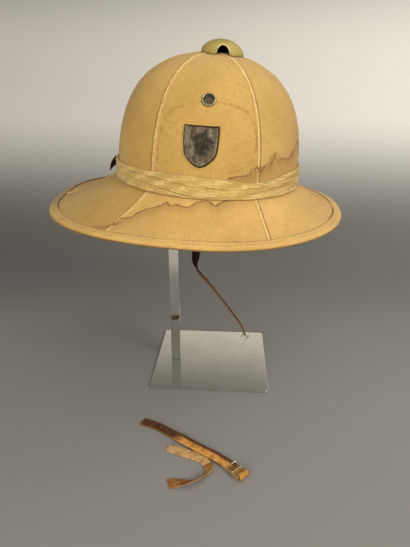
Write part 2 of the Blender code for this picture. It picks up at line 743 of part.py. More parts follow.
def add_front_strap(leather, parent):
    """The strap that lies round the front of the crown and stands off it at its free end."""
    rows = smooth_rows(FRONT_ROWS, 18)
    degrees = FRONT_STRAP_START + (FRONT_STRAP_END - FRONT_STRAP_START) * rows[:, 0]
    angles = np.radians(degrees)
    seat = SEAM_RIDGE + BAND_WALL + BAND_FOLD + 3 * SEAT_GAP + STRAP_THICKNESS / 2
    heights = FRONT_STRAP_HEIGHT * rows[:, 1]
    on_crown = dome_ring(angles, heights, seat)
    outwards = unit(np.stack([np.cos(angles), np.sin(angles), np.zeros_like(angles)], axis=1))
    centres = on_crown + outwards * (FRONT_STRAP_STAND_OFF * rows[:, 2:3])
    leans = np.radians(rows[:, 3:4])
    rise = unit(dome_ring(angles, heights + 0.002, seat) - dome_ring(angles, heights - 0.002, seat))
    sides = rise * np.cos(leans) - outwards * np.sin(leans)
    add_bar("strap_front", strap_sections(centres, sides, STRAP_WIDTH, STRAP_THICKNESS), leather, parent)


def buckle_frame():
    """Matrix of the buckle on the ground: X towards its end bar, Z up."""
    return Matrix.Translation((FRAGMENT_X, FRAGMENT_Y, 0.0)) @ Matrix.Rotation(BUCKLE_TURN, 4, "Z")


def add_fragment(leather):
    """The strap on the ground: under two bars, round the end bar and back beneath itself."""
    half = STRAP_THICKNESS / 2
    under = half + SEAT_GAP / 3
    over = under + STRAP_THICKNESS + SEAT_GAP
    bar_top = over + half + SEAT_GAP + BUCKLE_HEIGHT
    bar_x = BUCKLE_LENGTH / 2 - BUCKLE_BAR / 2
    wrap = BUCKLE_BAR / 2 + SEAT_GAP + half
    rows = [
        (-behind * FRAGMENT_LENGTH, aside * FRAGMENT_LENGTH, under + lift * (over - under))
        for behind, aside, lift in FRAGMENT_ROWS
    ]
    rise = bar_top + SEAT_GAP + half - under
    rows += [(bar_x - behind * wrap, 0.0, under + level * rise) for behind, level in WRAP_ROWS]
    rows += [(bar_x - FRAGMENT_RETURN / 2, 0.0, under), (bar_x - FRAGMENT_RETURN, 0.0, under)]
    centres = smooth_rows(rows, 56)
    across = np.tile((0.0, 1.0, 0.0), (len(centres), 1))
    sections = strap_sections(centres, across, STRAP_WIDTH, STRAP_THICKNESS)
    add_bar("strap_fragment", moved(sections, buckle_frame()), leather)
    return over + half + SEAT_GAP


def add_torn_strip(leather):
    """The torn strip beside the strap: flat where its flesh side shows, and leaning through its bend."""
    path = smooth_rows(TORN_ROWS, 34)
    widths, turns = TORN_WIDTH * path[:, 2:3], np.radians(path[:, 3:4])
    height = STRAP_THICKNESS / 2 + SEAT_GAP / 3 + widths / 2 * np.sin(turns)
    centres = np.concatenate([-TORN_REACH * path[:, :1], TORN_REACH * path[:, 1:2], height], axis=1)
    up = np.array([0.0, 0.0, 1.0])
    level = unit(np.cross(up, np.gradient(centres, axis=0)))
    sides = level * np.cos(turns) + up * np.sin(turns)
    sections = strap_sections(centres, sides, widths[:, 0], STRAP_THICKNESS)
    add_bar("strap_torn_strip", moved(sections, buckle_frame()), leather)


def add_buckle(metal, floor):
    """The two-window buckle frame, with its underside at the given height."""
    xs = [-BUCKLE_LENGTH / 2, BUCKLE_BAR - BUCKLE_LENGTH / 2, -BUCKLE_BAR / 2]
    xs += [-x for x in reversed(xs)]
    ys = [-BUCKLE_WIDTH / 2, BUCKLE_BAR - BUCKLE_WIDTH / 2]
    ys += [-y for y in reversed(ys)]
    zs = (floor, floor + BUCKLE_HEIGHT)
    filled = {(i, j) for i in range(5) for j in range(3)} - {(1, 1), (3, 1)}
    points = [(x, y, z) for z in zs for y in ys for x in xs]
    wide, level = len(xs), len(xs) * len(ys)
    faces = []
    for i, j in sorted(filled):
        a, b, c, d = j * wide + i, j * wide + i + 1, (j + 1) * wide + i + 1, (j + 1) * wide + i
        faces += [(a, d, c, b), (a + level, b + level, c + level, d + level)]
        for (p, q), step in (((a, b), (0, -1)), ((b, c), (1, 0)), ((c, d), (0, 1)), ((d, a), (-1, 0))):
            if (i + step[0], j + step[1]) not in filled:
                faces.append((p, q, q + level, p + level))
    frame = add_solid("buckle_frame", moved(points, buckle_frame()), faces, metal)
    soften = frame.modifiers.new("rounding", "BEVEL")
    soften.width = 0.2 * BUCKLE_HEIGHT
    soften.segments = 1
    soften.limit_method = "ANGLE"


def main():
    """Build every piece of the helmet, its stand and its torn strap."""
    clear_scene()
    steel = make_material("polished_steel", (0.62, 0.62, 0.60), 0.08, 1.0)
    canvas = make_material("khaki_canvas", (0.60, 0.42, 0.20), 0.85)
    band = make_material("band_canvas", (0.56, 0.43, 0.23), 0.85)
    paint = make_material("khaki_paint", (0.46, 0.40, 0.18), 0.45, 0.2)
    brass = make_material("aged_brass", (0.50, 0.42, 0.24), 0.35, 0.9)
    wire = make_material("wire_mesh", (0.24, 0.23, 0.14), 0.6, 0.5)
    tarnish = make_material("tarnished_shield", (0.22, 0.19, 0.17), 0.4, 0.8)
    leather = make_material("brown_leather", (0.16, 0.07, 0.03), 0.55)
    suede = make_material("torn_leather", (0.52, 0.33, 0.17), 0.9)

    helmet = bpy.data.objects.new("helmet_frame", None)
    helmet.matrix_world = helmet_matrix()
    bpy.context.scene.collection.objects.link(helmet)

    add_stand(steel)
    add_crown(canvas, helmet)
    add_brim(canvas, helmet)
    add_binding(canvas, helmet)
    add_hatband(band, helmet)
    add_vent(paint, helmet)
    add_eyelets(brass, wire, helmet)
    add_badge(tarnish, helmet)
    add_front_strap(leather, helmet)
    add_hanging_strap(leather, brass)
    buckle_floor = add_fragment(leather)
    add_torn_strip(suede)
    add_buckle(brass, buckle_floor)


main()
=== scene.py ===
"""Looks of a cloth-covered pith helmet on a mirror-polished plate and post, with its broken chin strap.

Metres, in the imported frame: +Z up, the helmet's front faces -X and the side with the shield faces -Y.
The helmet's shapes are worked out about the centre of the crown's foot, then tilted onto the stand.
"""

import enum
import logging
import math
from dataclasses import dataclass, field
from typing import Callable, Iterable, Optional, Union

import bmesh
import bpy
import numpy as np
from mathutils import Matrix, Vector


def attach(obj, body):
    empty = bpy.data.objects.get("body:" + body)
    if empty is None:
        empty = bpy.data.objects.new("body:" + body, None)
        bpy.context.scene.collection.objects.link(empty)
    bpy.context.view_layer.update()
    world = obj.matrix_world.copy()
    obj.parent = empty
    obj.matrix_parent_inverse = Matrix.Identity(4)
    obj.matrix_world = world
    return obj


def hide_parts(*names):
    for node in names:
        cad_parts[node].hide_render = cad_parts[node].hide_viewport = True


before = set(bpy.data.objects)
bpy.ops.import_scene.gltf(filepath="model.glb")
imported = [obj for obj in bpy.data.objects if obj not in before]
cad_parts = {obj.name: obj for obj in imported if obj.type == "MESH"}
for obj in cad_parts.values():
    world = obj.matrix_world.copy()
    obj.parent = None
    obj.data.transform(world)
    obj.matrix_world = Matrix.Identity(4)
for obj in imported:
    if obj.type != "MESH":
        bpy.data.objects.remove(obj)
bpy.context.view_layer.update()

log = logging.getLogger("helmet")

BODY = "root"
MM = 0.001
FULL_TURN = 2.0 * math.pi

Value = Union[float, tuple, bpy.types.NodeSocket]


class Slot(enum.Enum):
    """Material slots."""

    STEEL = "polished_steel"
    CANVAS = "khaki_canvas"
    BAND = "band_canvas"
    PAINT = "khaki_paint"
    BRASS = "aged_brass"
    MESH = "wire_mesh"
    SHIELD = "tarnished_shield"
    LEATHER = "brown_leather"
    SUEDE = "torn_leather"


# Arrays of points


def unit(vectors: np.ndarray) -> np.ndarray:
    """The vectors at length one."""
    return vectors / np.maximum(np.linalg.norm(vectors, axis=-1, keepdims=True), 1e-12)


def moved(points: np.ndarray, matrix: Matrix) -> np.ndarray:
    """The points moved by the matrix."""
    return points @ np.array(matrix.to_3x3()).T + np.array(matrix.translation)


def smooth_step(values: np.ndarray, start: float, end: float) -> np.ndarray:
    """0 before the start, 1 after the end, and 3t^2 - 2t^3 between them."""
    share = np.clip((values - start) / (end - start), 0.0, 1.0)
    return share * share * (3.0 - 2.0 * share)


def ripples(places: np.ndarray, lengths: tuple[float, ...], seed: int) -> np.ndarray:
    """A gentle uneven relief, the mean of plane sine waves of the given lengths in seeded directions.

    Args:
        places: Points in metres, one per last axis entry of three.
        lengths: Wave lengths in metres.
        seed: Seed of the directions and starts.

    Returns:
        Heights between about -1 and 1.
    """
    draw = np.random.default_rng(seed)
    total = np.zeros(places.shape[:-1])
    for length in lengths:
        for _ in range(3):
            way = unit(draw.normal(size=3)) * FULL_TURN / length
            total += np.sin(places @ way + draw.uniform(0.0, FULL_TURN))
    return total / (1.5 * len(lengths))


def smooth_rows(rows: tuple, count: int) -> np.ndarray:
    """Rows read evenly from a Catmull-Rom curve, a cubic through each pair of the given rows.

    Args:
        rows: Rows of numbers, which the curve passes through.
        count: Number of rows to return.

    Returns:
        An array of the rows along the curve.
    """
    table = np.array(rows, float)
    at = np.linspace(0.0, len(table) - 1, count)
    low = np.minimum(at.astype(int), len(table) - 2)
    share = (at - low)[:, None]
    before, start = table[np.maximum(low - 1, 0)], table[low]
    end, after = table[low + 1], table[np.minimum(low + 2, len(table) - 1)]
    slope, bend = end - before, 2 * before - 5 * start + 4 * end - after
    twist = 3 * start - before - 3 * end + after
    return start + 0.5 * share * (slope + share * (bend + share * twist))


def normals_of(points: np.ndarray) -> np.ndarray:
    """Unit vectors square to a grid whose columns close on themselves, from central differences."""
    across = np.roll(points, -1, axis=1) - np.roll(points, 1, axis=1)
    along = np.gradient(points, axis=0)
    return unit(np.cross(across, along))


def distance_to_line(points: np.ndarray, line: np.ndarray) -> np.ndarray:
    """Distance of each point to a broken line, the least over its straight stretches."""
    best = np.full(points.shape[:-1], 1e9)
    for start, end in zip(line[:-1], line[1:]):
        stretch = end - start
        share = np.clip(((points - start) @ stretch) / max(float(stretch @ stretch), 1e-12), 0.0, 1.0)
        best = np.minimum(best, np.linalg.norm(points - start - share[..., None] * stretch, axis=-1))
    return best


# Pieces from grids


@dataclass
class Surface:
    """A grid of points, row after row, with what its material reads.

    uv has a row for each row of points, and one more if the rows close, an entry for each quad across,
    and in it the left and the right corner's (u, v) in metres.
    """

    points: np.ndarray
    round_rows: bool = False
    round_columns: bool = False
    uv: Optional[np.ndarray] = None
    marks: dict[str, np.ndarray] = field(default_factory=dict)

    def quads(self) -> np.ndarray:
        """Corner numbers of each quad: here, next column, next row and column, next row."""
        rows, columns = self.points.shape[:2]
        i = np.arange(rows if self.round_rows else rows - 1)[:, None]
        j = np.arange(columns if self.round_columns else columns - 1)[None, :]
        down, right = (i + 1) % rows, (j + 1) % columns
        corners = [i * columns + j, i * columns + right, down * columns + right, down * columns + j]
        return np.stack(np.broadcast_arrays(*corners), axis=-1).reshape(-1, 4)

    def corner_uv(self) -> np.ndarray:
        """(u, v) of the four corners of each quad."""
        if self.uv is None:
            return np.zeros((len(self.quads()) * 4, 2))
        upper, lower = self.uv[:-1], self.uv[1:]
        corners = [upper[:, :, 0], upper[:, :, 1], lower[:, :, 1], lower[:, :, 0]]
        return np.stack(corners, axis=2).reshape(-1, 2)


def plain_uv(across: np.ndarray, along: np.ndarray) -> np.ndarray:
    """uv of a Surface from two arrays of metres, which have one more column than there are quads across."""
    both = np.stack(np.broadcast_arrays(across, along), axis=-1)
    return np.stack([both[:, :-1], both[:, 1:]], axis=2)


def make_mesh(name: str, surfaces: list[Surface], sharp_degrees: float) -> bpy.types.Mesh:
    """One mesh from grids, welded where their points meet, with its faces turned out.

    Args:
        name: Name of the mesh.
        surfaces: The grids.
        sharp_degrees: Edges that turn by more than this are shaded sharp.

    Returns:
        The mesh, with the uv map "cloth" and one float attribute for each mark.
    """
    starts = np.cumsum([0] + [surface.points[..., 0].size for surface in surfaces])
    points = np.concatenate([surface.points.reshape(-1, 3) for surface in surfaces])
    quads = np.concatenate([surface.quads() + start for surface, start in zip(surfaces, starts)])
    mesh = bpy.data.meshes.new(name)
    mesh.vertices.add(len(points))
    mesh.vertices.foreach_set("co", points.astype(np.float32).ravel())
    mesh.loops.add(quads.size)
    mesh.loops.foreach_set("vertex_index", quads.astype(np.int32).ravel())
    mesh.polygons.add(len(quads))
    mesh.polygons.foreach_set("loop_start", np.arange(0, quads.size, 4, dtype=np.int32))
    mesh.update(calc_edges=True)
    flat = np.concatenate([surface.corner_uv() for surface in surfaces])
    mesh.uv_layers.new(name="cloth").data.foreach_set("uv", flat.astype(np.float32).ravel())
    for mark in sorted({mark for surface in surfaces for mark in surface.marks}):
        values = np.concatenate([
            np.broadcast_to(surface.marks.get(mark, 0.0), surface.points.shape[:2]).ravel()
            for surface in surfaces
        ])
        layer = mesh.attributes.new(mark, "FLOAT", "POINT")
        layer.data.foreach_set("value", values.astype(np.float32))
    work = bmesh.new()
    work.from_mesh(mesh)
    bmesh.ops.remove_doubles(work, verts=work.verts, dist=1e-6)
    bmesh.ops.dissolve_degenerate(work, edges=work.edges, dist=1e-7)
    bmesh.ops.recalc_face_normals(work, faces=work.faces)
    work.to_mesh(mesh)
    work.free()
    mesh.shade_smooth()
    mesh.set_sharp_from_angle(angle=math.radians(sharp_degrees))
    return mesh


def add_piece(
    name: str,
    surfaces: list[Surface],
    material: bpy.types.Material,
    nodes: tuple[str, ...] = (),
    sharp_degrees: float = 50.0,
) -> bpy.types.Object:
    """A new piece on the one body.

    Args:
        name: Name of the piece.
        surfaces: Its grids, in world metres.
        material: Its finish.
        nodes: CAD nodes that the piece stands for.
        sharp_degrees: Edges that turn by more than this are shaded sharp.

    Returns:
        The piece, at the origin.
    """
    mesh = make_mesh(name, surfaces, sharp_degrees)
    mesh.materials.append(material)
    piece = bpy.data.objects.new(name, mesh)
    bpy.context.scene.collection.objects.link(piece)
    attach(piece, BODY)
    if nodes:
        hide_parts(*nodes)
    log.info("%s: %d faces", name, len(mesh.polygons))
    return piece


def tube(path: np.ndarray, radii: Union[float, np.ndarray], sides: int, closed: bool) -> Surface:
    """A round tube along a path: centre + r (cos a . side + sin a . across), with its ends drawn to a point.

    Args:
        path: Points along the middle.
        radii: One radius, or one for each point.
        sides: Points round the tube.
        closed: True if the path's end meets its start.

    Returns:
        The tube's grid.
    """
    if closed:
        along = unit(np.roll(path, -1, axis=0) - np.roll(path, 1, axis=0))
    else:
        along = unit(np.gradient(path, axis=0))
    lean = np.where(np.abs(along[:, 2:3]) < 0.9, (0.0, 0.0, 1.0), (1.0, 0.0, 0.0))
    side = unit(np.cross(along, lean))
    across = np.cross(along, side)
    turns = np.linspace(0.0, FULL_TURN, sides, endpoint=False)[None, :, None]
    reach = np.broadcast_to(radii, (len(path),))[:, None, None]
    points = path[:, None] + reach * (np.cos(turns) * side[:, None] + np.sin(turns) * across[:, None])
    if not closed:
        first = np.broadcast_to(path[0], (1, sides, 3))
        last = np.broadcast_to(path[-1], (1, sides, 3))
        points = np.concatenate([first, points, last])
    return Surface(points, round_rows=closed, round_columns=True)


def turned(profile: np.ndarray, steps: int, matrix: Matrix, closed: bool = True) -> Surface:
    """A round body: (radius, height) rows turned about the matrix's Z axis.

    Args:
        profile: Rows of radius and height.
        steps: Columns round the body.
        matrix: Place and lean of the body.
        closed: True if the profile's end meets its start.

    Returns:
        The body's grid.
    """
    turns = np.linspace(0.0, FULL_TURN, steps, endpoint=False)[None, :]
    radii, heights = profile[:, :1], profile[:, 1:2]
    local = np.stack(
        np.broadcast_arrays(radii * np.cos(turns), radii * np.sin(turns), heights), axis=-1
    )
    return Surface(moved(local, matrix), round_rows=closed, round_columns=True)


def stitch_row(
    path: np.ndarray, normals: np.ndarray, pitch: float, length: float, radius: float
) -> list[Surface]:
    """A row of stitches: short arched threads, whose ends dip into the cloth by the thread's radius.

    Args:
        path: Points along the seam.
        normals: Unit vectors out of the cloth at those points.
        pitch: Distance from one stitch to the next.
        length: Length of a stitch.
        radius: Radius of the thread.

    Returns:
        One small grid for each stitch.
    """
    steps = np.linalg.norm(np.diff(path, axis=0), axis=1)
    run = np.concatenate([[0.0], np.cumsum(steps)])
    starts = np.arange(pitch / 2, run[-1] - pitch, pitch)
    shares = np.array([0.0, 0.12, 0.5, 0.88, 1.0])
    at = starts[:, None] + length * shares[None, :]
    middle = np.stack([np.interp(at, run, path[:, k]) for k in range(3)], axis=-1)
    out = unit(np.stack([np.interp(at, run, normals[:, k]) for k in range(3)], axis=-1))
    lift = radius * np.array([-0.9, 0.1, 0.6, 0.1, -0.9])[None, :, None]
    girth = radius * np.array([0.05, 0.85, 1.0, 0.85, 0.05])[None, :, None, None]
    along = unit(np.gradient(middle, axis=1))
    side = unit(np.cross(along, out))
    turns = np.linspace(0.0, FULL_TURN, 5, endpoint=False)[None, None, :, None]
    ring = girth * (np.cos(turns) * side[:, :, None] + np.sin(turns) * out[:, :, None])
    points = (middle + lift * out)[:, :, None] + ring
    return [Surface(stitch, round_columns=True) for stitch in points]


# The helmet's form


@dataclass(frozen=True)
class HelmetForm:
    """The crown's dome and the brim, in the helmet's own frame, with the part's own sizes."""

    centre_x: float = -0.0065
    centre_z: float = 0.2570
    pitch: float = math.radians(3.5)
    roll: float = math.radians(4.0)
    half_length: float = 0.1055
    half_width: float = 0.094
    height: float = 0.1348
    waist_power: float = 0.85
    dome_power: float = 0.74
    wall: float = 0.005
    hole_radius: float = 0.008
    seat_gap: float = 0.0003
    brim_front: float = 0.182
    brim_rear: float = 0.160
    brim_half_width: float = 0.138
    fullness_front: float = 2.5
    fullness_rear: float = 2.2
    drop_front: float = 0.0365
    drop_side: float = 0.0355
    drop_rear: float = 0.0255
    end_power: float = 1.5
    flare: float = 0.45
    brim_wall: float = 0.0038

    def matrix(self) -> Matrix:
        """Turn and shift from the helmet's own frame to the world."""
        turn = Matrix.Rotation(self.pitch, 4, "Y") @ Matrix.Rotation(self.roll, 4, "X")
        return Matrix.Translation((self.centre_x, 0.0, self.centre_z)) @ turn

    def world(self, points: np.ndarray) -> np.ndarray:
        """Points of the helmet's frame in the world."""
        return moved(points, self.matrix())

    def spread(self, heights: np.ndarray, grow: float = 0.0) -> np.ndarray:
        """Share of the foot's size at a height: cos^0.85 of the turn whose sin^0.74 is the height's share."""
        share = np.clip(np.asarray(heights) / (self.height + grow), 0.0, 1.0)
        return np.cos(np.arcsin(share ** (1.0 / self.dome_power))) ** self.waist_power

    def dome(self, angles: np.ndarray, turns: np.ndarray, grow: Union[float, np.ndarray] = 0.0) -> np.ndarray:
        """Superelliptic dome: x, y = half sizes . cos^0.85 t . (cos a, sin a) and z = height . sin^0.74 t."""
        spread = np.cos(turns) ** self.waist_power
        x = (self.half_length + grow) * spread * np.cos(angles)
        y = (self.half_width + grow) * spread * np.sin(angles)
        z = (self.height + grow) * np.sin(turns) ** self.dome_power
        return np.stack(np.broadcast_arrays(x, y, z), axis=-1)

    def dome_at(
        self, angles: np.ndarray, heights: np.ndarray, grow: Union[float, np.ndarray] = 0.0
    ) -> np.ndarray:
        """The dome at given heights, grown outwards."""
        spread = self.spread(heights, 0.0)
        x = (self.half_length + grow) * spread * np.cos(angles)
        y = (self.half_width + grow) * spread * np.sin(angles)
        return np.stack(np.broadcast_arrays(x, y, heights), axis=-1)

    def hole_turn(self, half_length: float) -> float:
        """Turn at which a dome of this half length has narrowed to the vent hole."""
        return math.acos((self.hole_radius / half_length) ** (1.0 / self.waist_power))

    def even_turns(self, count: int, end: float) -> np.ndarray:
        """Turns from the foot to the end, spaced evenly along the dome's side profile."""
        fine = np.linspace(0.0, 1.0, 4000) ** 2 * end
        line = self.dome(np.zeros(1), fine)
        run = np.concatenate([[0.0], np.cumsum(np.linalg.norm(np.diff(line, axis=0), axis=1))])
        return np.interp(np.linspace(0.0, run[-1], count), run, fine)

    def onto_dome(self, points: np.ndarray, way: tuple, grow: Union[float, np.ndarray] = 0.0) -> np.ndarray:
        """Points slid along a way that leads out of the crown until they lie on its grown surface.

        Args:
            points: Points in the helmet's frame.
            way: Direction of the slide.
            grow: How far the surface is grown.

        Returns:
            The points on the surface, found by halving the range 50 times.
        """
        points, direction = np.asarray(points, float), np.asarray(way, float)
        low = np.full(points.shape[:-1], -self.half_length)
        high = np.full(points.shape[:-1], self.half_length + self.height)
        for _ in range(50):
            middle = (low + high) / 2
            at = points + middle[..., None] * direction
            reach = np.hypot(at[..., 0] / (self.half_length + grow), at[..., 1] / (self.half_width + grow))
            outside = (reach > self.spread(at[..., 2], grow)) | (at[..., 2] > self.height + grow)
            low, high = np.where(outside, low, middle), np.where(outside, middle, high)
        return points + low[..., None] * direction

    def dome_frame(self, x: float, z: float, side: int) -> Matrix:
        """Matrix on the crown's near or far side: X along the crown, Z straight out of it."""
        out = (0.0, float(side), 0.0)
        step = 0.001
        at = self.onto_dome((x, 0.0, z), out)
        ahead = self.onto_dome((x + step, 0.0, z), out) - self.onto_dome((x - step, 0.0, z), out)
        above = self.onto_dome((x, 0.0, z + step), out) - self.onto_dome((x, 0.0, z - step), out)
        along = Vector(ahead).normalized() * -side
        normal = along.cross(Vector(above)).normalized()
        turn = Matrix((along, normal.cross(along), normal)).transposed().to_4x4()
        return Matrix.Translation(at) @ turn

    def brim(self, angles: np.ndarray, shares: np.ndarray) -> np.ndarray:
        """The brim's top: a straight mix of the crown's foot and a superellipse, dropping as it goes out.

        Args:
            angles: Angles round the crown in radians.
            shares: 0 at the crown's foot and 1 at the edge.

        Returns:
            Points whose height is -drop . s . (1 + 0.45 (1 - s)).
        """
        cosine, sine = np.cos(angles), np.sin(angles)
        rear = cosine > 0
        power = 2 / np.where(rear, self.fullness_rear, self.fullness_front)
        lengthwise = np.sign(cosine) * np.abs(cosine) ** power
        edge_x = np.where(rear, self.brim_rear, self.brim_front) * lengthwise
        edge_y = self.brim_half_width * np.sign(sine) * np.abs(sine) ** power
        foot_x, foot_y = self.half_length * cosine, self.half_width * sine
        ends = np.abs(lengthwise) ** self.end_power
        drop = np.where(rear, self.drop_rear, self.drop_front) * ends + self.drop_side * (1 - ends)
        x = foot_x + (edge_x - foot_x) * shares
        y = foot_y + (edge_y - foot_y) * shares
        z = -self.seat_gap - drop * shares * (1 + self.flare * (1 - shares))
        return np.stack(np.broadcast_arrays(x, y, z), axis=-1)

    def brim_ways(self, angles: np.ndarray, shares: np.ndarray) -> tuple[np.ndarray, np.ndarray]:
        """Unit vectors on the brim: outwards along its slope, and out of its upper surface."""
        step = 0.01
        outwards = unit(self.brim(angles, shares + step) - self.brim(angles, shares - step))
        around = unit(self.brim(angles + step, shares) - self.brim(angles - step, shares))
        return outwards, unit(np.cross(outwards, around))


FORM = HelmetForm()


@dataclass(frozen=True)
class Seams:
    """Seams of the cover: on the crown at fixed angles, on the brim each leaning to one side."""

    crown: tuple[float, ...] = (0.0, 58.0, 120.0, 180.0, 240.0, 302.0)
    brim_foot: tuple[float, ...] = (0.0, 58.0, 120.0, 180.0, 237.0, 302.0)
    brim_edge: tuple[float, ...] = (0.0, 58.0, 120.0, 180.0, 242.5, 295.0)
    # painted shade of each gore, darker round the front, which faces away from the key light, and lighter where
    # negative; and the side of each seam where its fold lies open: 1 towards greater angles
    crown_shades: tuple[float, ...] = (0.0, 0.05, 0.14, 0.09, 0.0, -0.03)
    brim_shades: tuple[float, ...] = (-0.08, 0.0, 0.10, 0.19, -0.12, -0.14)
    open_sides: tuple[int, ...] = (1, 1, -1, -1, -1, 1)
    half_width: float = 0.0021
    lift: float = 0.00065
    offsets: tuple[float, ...] = (0.0, 0.7, 1.3, 1.7, 2.0, 2.3, 2.7, 3.6, 4.8)
    between: int = 34

    def columns(self, foot: tuple, edge: tuple, shares: np.ndarray, pace: Callable) -> tuple:
        """Angles of the columns of each row, close together beside each seam at fixed distances from it.

        Args:
            foot: Seam angles in degrees where the share is 0.
            edge: Seam angles in degrees where the share is 1.
            shares: Share of each row.
            pace: Metres per radian at (angles, rows).

        Returns:
            Angles, signed distances from the nearest seam, and each column's gore.
        """
        near = np.array(self.offsets) * MM
        rows = np.arange(len(shares))
        starts = np.radians(np.array(foot)[None, :] + (np.array(edge) - np.array(foot))[None, :] * shares[:, None])
        ends = np.concatenate([starts[:, 1:], starts[:, :1] + FULL_TURN], axis=1)
        angles, offsets, gores = [], [], []
        for gore in range(len(foot)):
            start, end = starts[:, gore : gore + 1], ends[:, gore : gore + 1]
            left = start + near[None, :] / pace(start, rows)
            right = end - near[None, :0:-1] / pace(end, rows)
            share = np.linspace(0.0, 1.0, self.between + 2)[None, 1:-1]
            middle = left[:, -1:] + (right[:, :1] - left[:, -1:]) * share
            angles += [left, middle, right]
            far = np.full((1, self.between), 1.0)
            offsets += [near[None, :], far, -near[None, :0:-1]]
            gores += [gore] * (2 * len(near) - 1 + self.between)
        columns = np.concatenate(angles, axis=1)
        apart = np.broadcast_to(np.concatenate(offsets, axis=1), columns.shape)
        return columns, apart, np.array(gores)

    def ridge(self, apart: np.ndarray) -> np.ndarray:
        """Height of the folded seam over the cloth: flat on top, steep at both edges, and creased beside them."""
        top = 1.0 - smooth_step(np.abs(apart), self.half_width - 0.0006, self.half_width + 0.0004)
        return self.lift * (top - 0.35 * self.crease(apart))

    def crease(self, apart: np.ndarray) -> np.ndarray:
        """1 along the crease beside the ridge and 0 away from it."""
        return np.exp(-(((np.abs(apart) - self.half_width - 0.0003) / 0.0006) ** 2))

    def gore_marks(self, apart: np.ndarray, gores: np.ndarray, shades: tuple) -> dict[str, np.ndarray]:
        """The dark line on the open side of each seam, and each gore's painted shade.

        Args:
            apart: Signed distances from the nearest seam.
            gores: Gore of each column.
            shades: Painted shade of each gore.

        Returns:
            The marks "seam", "shade" and "pale", the last a painted highlight along the top of each seam.
        """
        count = len(self.open_sides)
        seams = np.where(apart[0] < 0, gores + 1, gores) % count
        opened = np.sign(apart) == np.array(self.open_sides)[seams]
        shade = np.broadcast_to(np.array(shades)[gores], apart.shape)
        # painted highlight along the flat top of each seam's ridge
        pale = 0.62 * (1.0 - smooth_step(np.abs(apart), self.half_width - 0.0007, self.half_width))
        return {"seam": self.crease(apart) * np.where(opened, 0.9, 0.12), "shade": shade, "pale": pale}


def plain_marks(names: Iterable[str], shape: tuple) -> dict[str, np.ndarray]:
    """Marks of a clean stretch of cloth: far from each line, and 0 for the others."""
    return {name: np.full(shape, 1.0 if name in ("tide", "ring") else 0.0) for name in names}


SEAMS = Seams()


# Stains and wear, as lines on the helmet


@dataclass(frozen=True)
class Stains:
    """Water stains of the cover: tide lines on the crown and the brim, and a faint ring round the shield."""

    # degrees round the crown, share of the brim's width
    brim_line: tuple = (
        (228.0, 1.05), (236.0, 0.84), (239.0, 0.78), (241.5, 0.68), (240.5, 0.57), (243.0, 0.49),
        (244.0, 0.39), (246.0, 0.30), (248.5, 0.27), (251.0, 0.19), (253.5, 0.13), (256.0, 0.17),
        (260.0, 0.13), (263.0, 0.17), (266.0, 0.13), (267.5, 0.07), (271.0, 0.03), (274.0, 0.05),
        (277.0, 0.11), (281.0, 0.06), (286.0, 0.0),
    )
    # degrees round the crown, height in millimetres
    crown_line: tuple = (
        (281.0, 14.0), (284.0, 20.0), (287.0, 23.0), (293.0, 23.5), (296.5, 25.0), (299.0, 27.0),
        (301.0, 33.0), (304.0, 28.0), (307.0, 34.0), (309.5, 31.0), (312.0, 37.0), (315.0, 44.0),
        (317.5, 45.0), (319.5, 38.0), (323.0, 40.0), (328.0, 37.0), (332.0, 40.0), (337.0, 45.0),
        (344.0, 52.0), (352.0, 50.0), (360.0, 42.0), (368.0, 30.0), (374.0, 18.0),
    )
    shield_ring: tuple = (
        (243.0, 30.0), (242.5, 45.0), (243.0, 62.0), (245.0, 76.0), (249.0, 83.5), (255.0, 87.5),
        (261.0, 90.5), (270.0, 92.0), (279.0, 92.0), (287.0, 90.5), (294.0, 86.0), (298.0, 79.0),
        (300.5, 64.0), (300.0, 50.0), (296.5, 38.0), (291.5, 31.0), (284.0, 27.0),
    )

    @staticmethod
    def _smooth(rows: tuple) -> np.ndarray:
        """The line's rows with three more between each pair."""
        return smooth_rows(rows, 4 * len(rows))

    def crown_marks(self, points: np.ndarray) -> dict[str, np.ndarray]:
        """Distances to the crown's stain lines, in metres, negative inside the stain.

        Args:
            points: Points of the crown in the helmet's frame.

        Returns:
            The marks "tide" and "ring" for each point.
        """
        degrees = np.degrees(np.arctan2(points[..., 1], points[..., 0])) % 360.0
        around = np.where(degrees < 180.0, degrees + 360.0, degrees)
        low = self._smooth(self.crown_line)
        line = FORM.dome_at(np.radians(low[:, 0]), low[:, 1] * MM)
        level = np.interp(around, low[:, 0], low[:, 1], left=-20.0, right=-20.0) * MM
        tide = distance_to_line(points, line) * np.where(points[..., 2] < level, -1.0, 1.0)
        circle = self._smooth(self.shield_ring)
        loop = FORM.dome_at(np.radians(circle[:, 0]), circle[:, 1] * MM)
        ring = distance_to_line(points, loop)
        return {"tide": tide, "ring": ring}

    def brim_marks(self, points: np.ndarray, angles: np.ndarray, shares: np.ndarray) -> dict[str, np.ndarray]:
        """Distances to the brim's tide line, in metres, negative on its outer side, where the stain seeped.

        Args:
            points: Points of the brim in the helmet's frame.
            angles: Their angles in radians.
            shares: Their shares of the brim's width.

        Returns:
            The marks "tide" and "ring" for each point.
        """
        degrees = np.degrees(angles) % 360.0
        rows = self._smooth(self.brim_line)
        line = FORM.brim(np.radians(rows[:, 0]), rows[:, 1])
        order = np.argsort(rows[:, 0])
        level = np.interp(degrees, rows[order, 0], rows[order, 1], left=1.2, right=-0.2)
        outer_side = np.broadcast_to(shares, degrees.shape) > level
        tide = distance_to_line(points, line) * np.where(outer_side, -1.0, 1.0)
        return {"tide": tide, "ring": np.full_like(tide, 1.0)}


STAINS = Stains()


# Materials


def rgba(colour: tuple[float, float, float]) -> tuple[float, float, float, float]:
    """The colour with full cover."""
    return (*colour, 1.0)


